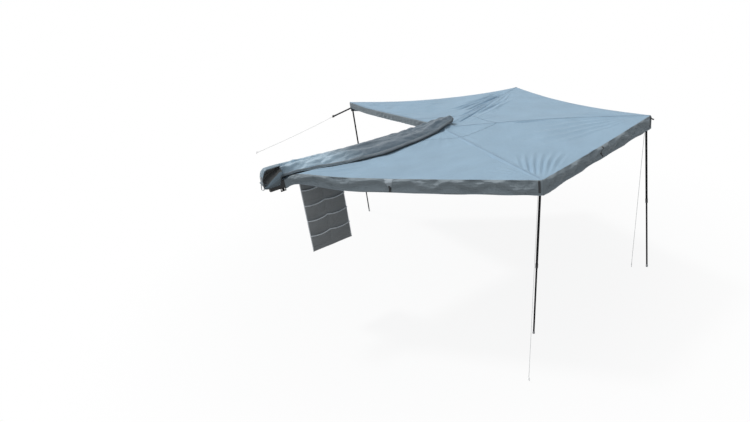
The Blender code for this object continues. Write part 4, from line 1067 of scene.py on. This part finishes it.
def cover_surface():
    """The thrown back cover: rows run along the rail, columns from the hem to the free edge."""
    x = np.concatenate([
        np.linspace(COVER_START, COVER_FALL_START, 210, endpoint=False),
        COVER_FALL_START + (COVER_END - COVER_FALL_START) * np.sin(np.linspace(0, math.pi / 2, 64)),
    ])
    places = np.linspace(0.0, 9.0, 82)
    rows = []
    for at in x:
        section = rounded(cover_controls(at), places)
        rows.append(np.column_stack([np.full(len(section), at), section]))
    points = np.array(rows)
    down = np.gradient(points, axis=0)
    across = np.gradient(points, axis=1)
    normal = np.cross(down, across)
    normal /= np.linalg.norm(normal, axis=2)[..., None]
    s = points[..., 0]
    t = np.zeros(s.shape)
    t[:, 1:] = np.cumsum(np.linalg.norm(np.diff(points, axis=1), axis=2), axis=1)
    free = smooth((places - 3.2) / 1.2) * smooth((9.0 - places) / 0.7)
    long_folds = ripples(s * 0.22 + 0.3 * np.sin(2.1 * s), t * 1.2, 0.13, 71, 12)
    crumples = ripples(s * 0.8 + t, t * 1.3 - s * 0.3, 0.085, 83, 16)
    rumpled = 0.5 + 0.5 * smooth((s - 0.7) / 0.9)
    height = 0.0060 * long_folds + 0.0034 * rumpled * crumples
    for fold in COVER_FOLDS:
        height = height + crease(s, places, *fold)
    quiet = 1 - 0.7 * smooth((s - COVER_FALL_START) / 0.05)
    drawn = smooth((s - COVER_END + COVER_NOSE * 1.6) / COVER_NOSE) * smooth((COVER_END - s) / 0.02)
    height = height + 0.0075 * drawn * np.sin(places * 8.5 + 14.0 * s)
    points = points + normal * (free * quiet * height)[..., None]
    far = ((points[..., :2] - COVER_PEAK[:2]) ** 2).sum(axis=-1)
    points[..., 2] += COVER_PEAK[2] * np.exp(-far / COVER_PEAK[3] ** 2)
    return points, normal, places


def make_cover():
    points, normal, places = cover_surface()
    # the faces inside the pouch's mouth take the inner finish, partly painted shade for the recess
    inside = (places[:-1] >= 6.05) & (places[:-1] < 7.9)
    mouth = (points[:-1, 0, 0] > COVER_FALL_START + 0.02)[:, None] & inside[None, :]
    cover = grid_object(
        "bag_cover_cloth", points, "cover_pvc_cloth", COVER_THICK, other=("cover_pvc_inside", mouth)
    )
    fasten(cover, "mount_body", "bag_cover")
    edge = points[:, -1] - normal[:, -1] * 0.001
    fasten(tube_object("cover_piping", edge[::2], COVER_PIPING, "dark_piping"), "mount_body")
    tape = points[:, -5:-1] + normal[:, -5:-1] * (TAPE_LIFT + TAPE_THICK)
    fasten(grid_object("cover_zip_tape", tape, "cover_zip_tape", TAPE_THICK), "mount_body")


def make_pull_loop():
    """The webbing loop that hangs on the cover's front end: narrow above, round below."""
    wide, narrow = PULL_LOOP_WIDE, PULL_LOOP_NARROW
    centre_x = COVER_END + TOUCH + wide
    upper = (centre_x - wide + narrow, PULL_LOOP_TOP - narrow)
    lower = (centre_x, PULL_LOOP_TOP - PULL_LOOP_LENGTH + wide)
    reach = math.hypot(upper[0] - lower[0], upper[1] - lower[1])
    lean = math.atan2(upper[1] - lower[1], upper[0] - lower[0])
    tilt = math.acos((wide - narrow) / reach)
    path = []
    for centre, radius, low, high in (
        (lower, wide, lean + tilt, lean + 2 * math.pi - tilt),
        (upper, narrow, lean - tilt, lean + tilt),
    ):
        inner = radius - 0.001
        for turn in np.linspace(low, high, 26):
            path.append((centre[0] + inner * math.cos(turn), centre[1] + inner * math.sin(turn)))
    path.append(path[0])
    rows = []
    for y in np.linspace(COVER_FALL_FACE - 0.020, COVER_FALL_FACE + 0.005, 5):
        rows.append([(x, y, z) for x, z in path])
    loop = grid_object("cover_pull_webbing", rows, "pale_web", WEBBING_THICK)
    loop.modifiers["thickness"].offset = 0.0
    fasten(loop, "mount_body", "cover_pull_loop")


# Pocket organiser
def make_organiser():
    """The back panel, its rows of two gathered pockets with their piping, and the bindings."""
    low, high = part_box("pocket_organiser")
    width = high.x - low.x
    back_y = low.y + 0.004
    x = np.linspace(low.x, high.x, 61)
    z = np.linspace(high.z, low.z, 90)[:, None]
    y = back_y + 0.0012 * ripples(x, z, 0.22, 97)
    points = np.stack(np.broadcast_arrays(x, y, z), -1)
    panel = grid_object("organiser_back", points, "organiser_weave", 0.0022)
    fasten(panel, "mount_body", "pocket_organiser")
    each = ((x - low.x) / width * 2) % 1.0
    each[-1] = 1.0
    swell = (4 * each * (1 - each)) ** 0.7
    droop = 0.017 * 4 * each * (1 - each)
    v = np.linspace(0.0, 1.0, 22)[:, None]
    for row in range(POCKET_ROWS):
        mouth = high.z - POCKET_HEM - POCKET_HEIGHT * row + 0.015
        foot = mouth - POCKET_HEIGHT + 0.040
        top = mouth - droop
        height = top + (foot - top) * v
        out = (0.0135 * (1 - v) ** 0.8 + 0.0055 * np.sin(math.pi * v)) * swell
        out = out + 0.0010 * swell * ripples(x, height, 0.07, 101 + row)
        y = back_y + 0.0012 + np.maximum(out, 0.0)
        points = np.stack(np.broadcast_arrays(x, y, height), -1)
        pocket = grid_object(f"organiser_pocket_{row + 1}", points, "organiser_weave", 0.0010)
        fasten(pocket, "mount_body")
        rim = points[0] + np.array((0.0, 0.0070, 0.0))
        piping = tube_object(f"organiser_piping_{row + 1}", rim, POCKET_PIPING, "grey_piping")
        fasten(piping, "mount_body")
    levels = np.linspace(high.z, low.z, 40)
    for name, x_at in (("left", low.x + BINDING_RADIUS), ("right", high.x - BINDING_RADIUS)):
        line = [(x_at, back_y + 0.002, level) for level in levels]
        binding = tube_object(f"organiser_binding_{name}", line, BINDING_RADIUS, "grey_piping")
        fasten(binding, "mount_body")
    middle = (low.x + high.x) / 2
    sides = [middle + aside for aside in (-0.006, 0.0, 0.006)]
    points = [[(x_at, back_y + 0.0026, level) for x_at in sides] for level in levels]
    binding = grid_object("organiser_binding_middle", points, "organiser_weave", 0.0010)
    fasten(binding, "mount_body")


# Guys
def make_rope(name, path, body, key):
    """The thin rope of guy key along a path."""
    rope = tube_object(name, path, ROPE / 2, "pale_rope")
    fasten(rope, body, f"guy_{key}_rope")
    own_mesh(rope)


def make_ground_ropes():
    for key, start in ROPE_TOP.items():
        start = np.array(start)
        foot = np.array([*PEG_PLACE[key], -GROUND_DROP + PEG_RISE])
        flat = Vector((*(foot - start)[:2], 0.0)).normalized()
        tilt = Matrix.Rotation(math.radians(PEG_TILT[key]), 3, Vector((0, 0, 1)).cross(flat))
        peg_way = tilt @ Vector((0, 0, 1))
        slant = peg_way.cross(Vector(start - foot).normalized()).length
        end = foot + np.array(peg_way) * (PEG_HEAD_TOP + TOUCH + slant * ROPE / 2)
        make_rope(f"ground_rope_{key}", straight_path(start, end, 22), f"arm_{key}", key)


def make_side_guy():
    start, end = np.array(SIDE_GUY_TOP), np.array(SIDE_GUY_HOOK)
    direction = (end - start) / np.linalg.norm(end - start)
    side = np.cross((0.0, 0.0, 1.0), direction)
    side /= np.linalg.norm(side)
    rise = np.cross(direction, side)
    line = start + direction * np.linspace(0.0, STRAP_LENGTH, 40)[:, None]
    rows = []
    for across in np.linspace(-STRAP_WIDTH / 2, STRAP_WIDTH / 2, 5):
        rows.append(line + rise * across + side * STRAP_THICK / 2)
    strap = grid_object("side_guy_webbing", rows, "black_web", STRAP_THICK)
    fasten(strap, "guy_e", "guy_e_strap")
    turn = Matrix((direction, side, rise)).transposed().to_4x4()
    place = Matrix.Translation(start + direction * STRAP_LENGTH - side * BUCKLE_ASIDE) @ turn
    buckle = buckle_object("side_guy_buckle", place, "dark_steel")
    fasten(buckle, "guy_e")
    rope_start = start + direction * (STRAP_LENGTH + BUCKLE[0] / 2 + TOUCH)
    rope_end = end - direction * (HOOK_WIRE + TOUCH)
    path = straight_path(rope_start, rope_end, 30, SIDE_GUY_SAG)
    make_rope("side_guy_rope", path, "guy_e", "e")


def buckle_object(name, place, finish):
    """A cam buckle: a base plate with two side cheeks, an end bar and a round cam between them."""
    length, wide, deep = BUCKLE
    built = bmesh.new()

    def add_box(low, high):
        for vert in bmesh.ops.create_cube(built, size=1.0)["verts"]:
            vert.co = Vector(a + (b - a) * (c + 0.5) for a, b, c in zip(low, high, vert.co))

    half_l, half_w, half_d = length / 2, wide / 2, deep / 2
    plate, cheek, bar, play = 0.0025, 0.003, 0.006, 0.0003
    add_box((-half_l, -half_d, -half_w), (half_l, -half_d + plate, half_w))
    for edge in (-half_w, half_w - cheek):
        add_box((-half_l * 0.75, -half_d, edge), (half_l * 0.75, half_d, edge + cheek))
    add_box((half_l - bar, -half_d, -half_w), (half_l, half_d * 0.4, half_w))
    cam = half_d * 0.75
    turned = bmesh.ops.create_cone(
        built, cap_ends=True, segments=14, radius1=cam, radius2=cam, depth=wide - 2 * (cheek + play)
    )["verts"]
    bmesh.ops.translate(built, verts=turned, vec=(-0.004, 0.0005, 0.0))
    mesh = bpy.data.meshes.new(name)
    built.to_mesh(mesh)
    built.free()
    piece = place_object(name, mesh, finish, 30)
    bevel = piece.modifiers.new("edges", "BEVEL")
    bevel.width = 0.0006
    bevel.segments = 2
    piece.matrix_world = place
    return piece


make_camera()
make_stage()
for table, make_material in ((CLOTHS, cloth_material), (HARD, hard_material)):
    for name, values in table.items():
        FINISH[name] = make_material(name, *values)
dress_nodes()
make_ground_ropes()
make_side_guy()
for panel in PANELS:
    make_panel(panel)
make_skirt()
make_valance_hems()
for arm in ARMS:
    arm_seam(arm)
for panel in PANELS:
    hub_patch_seam(panel)
for band in VALANCE_BANDS:
    valance_band(*band)
make_strap_tail("c")
make_cover()
make_pull_loop()
make_organiser()
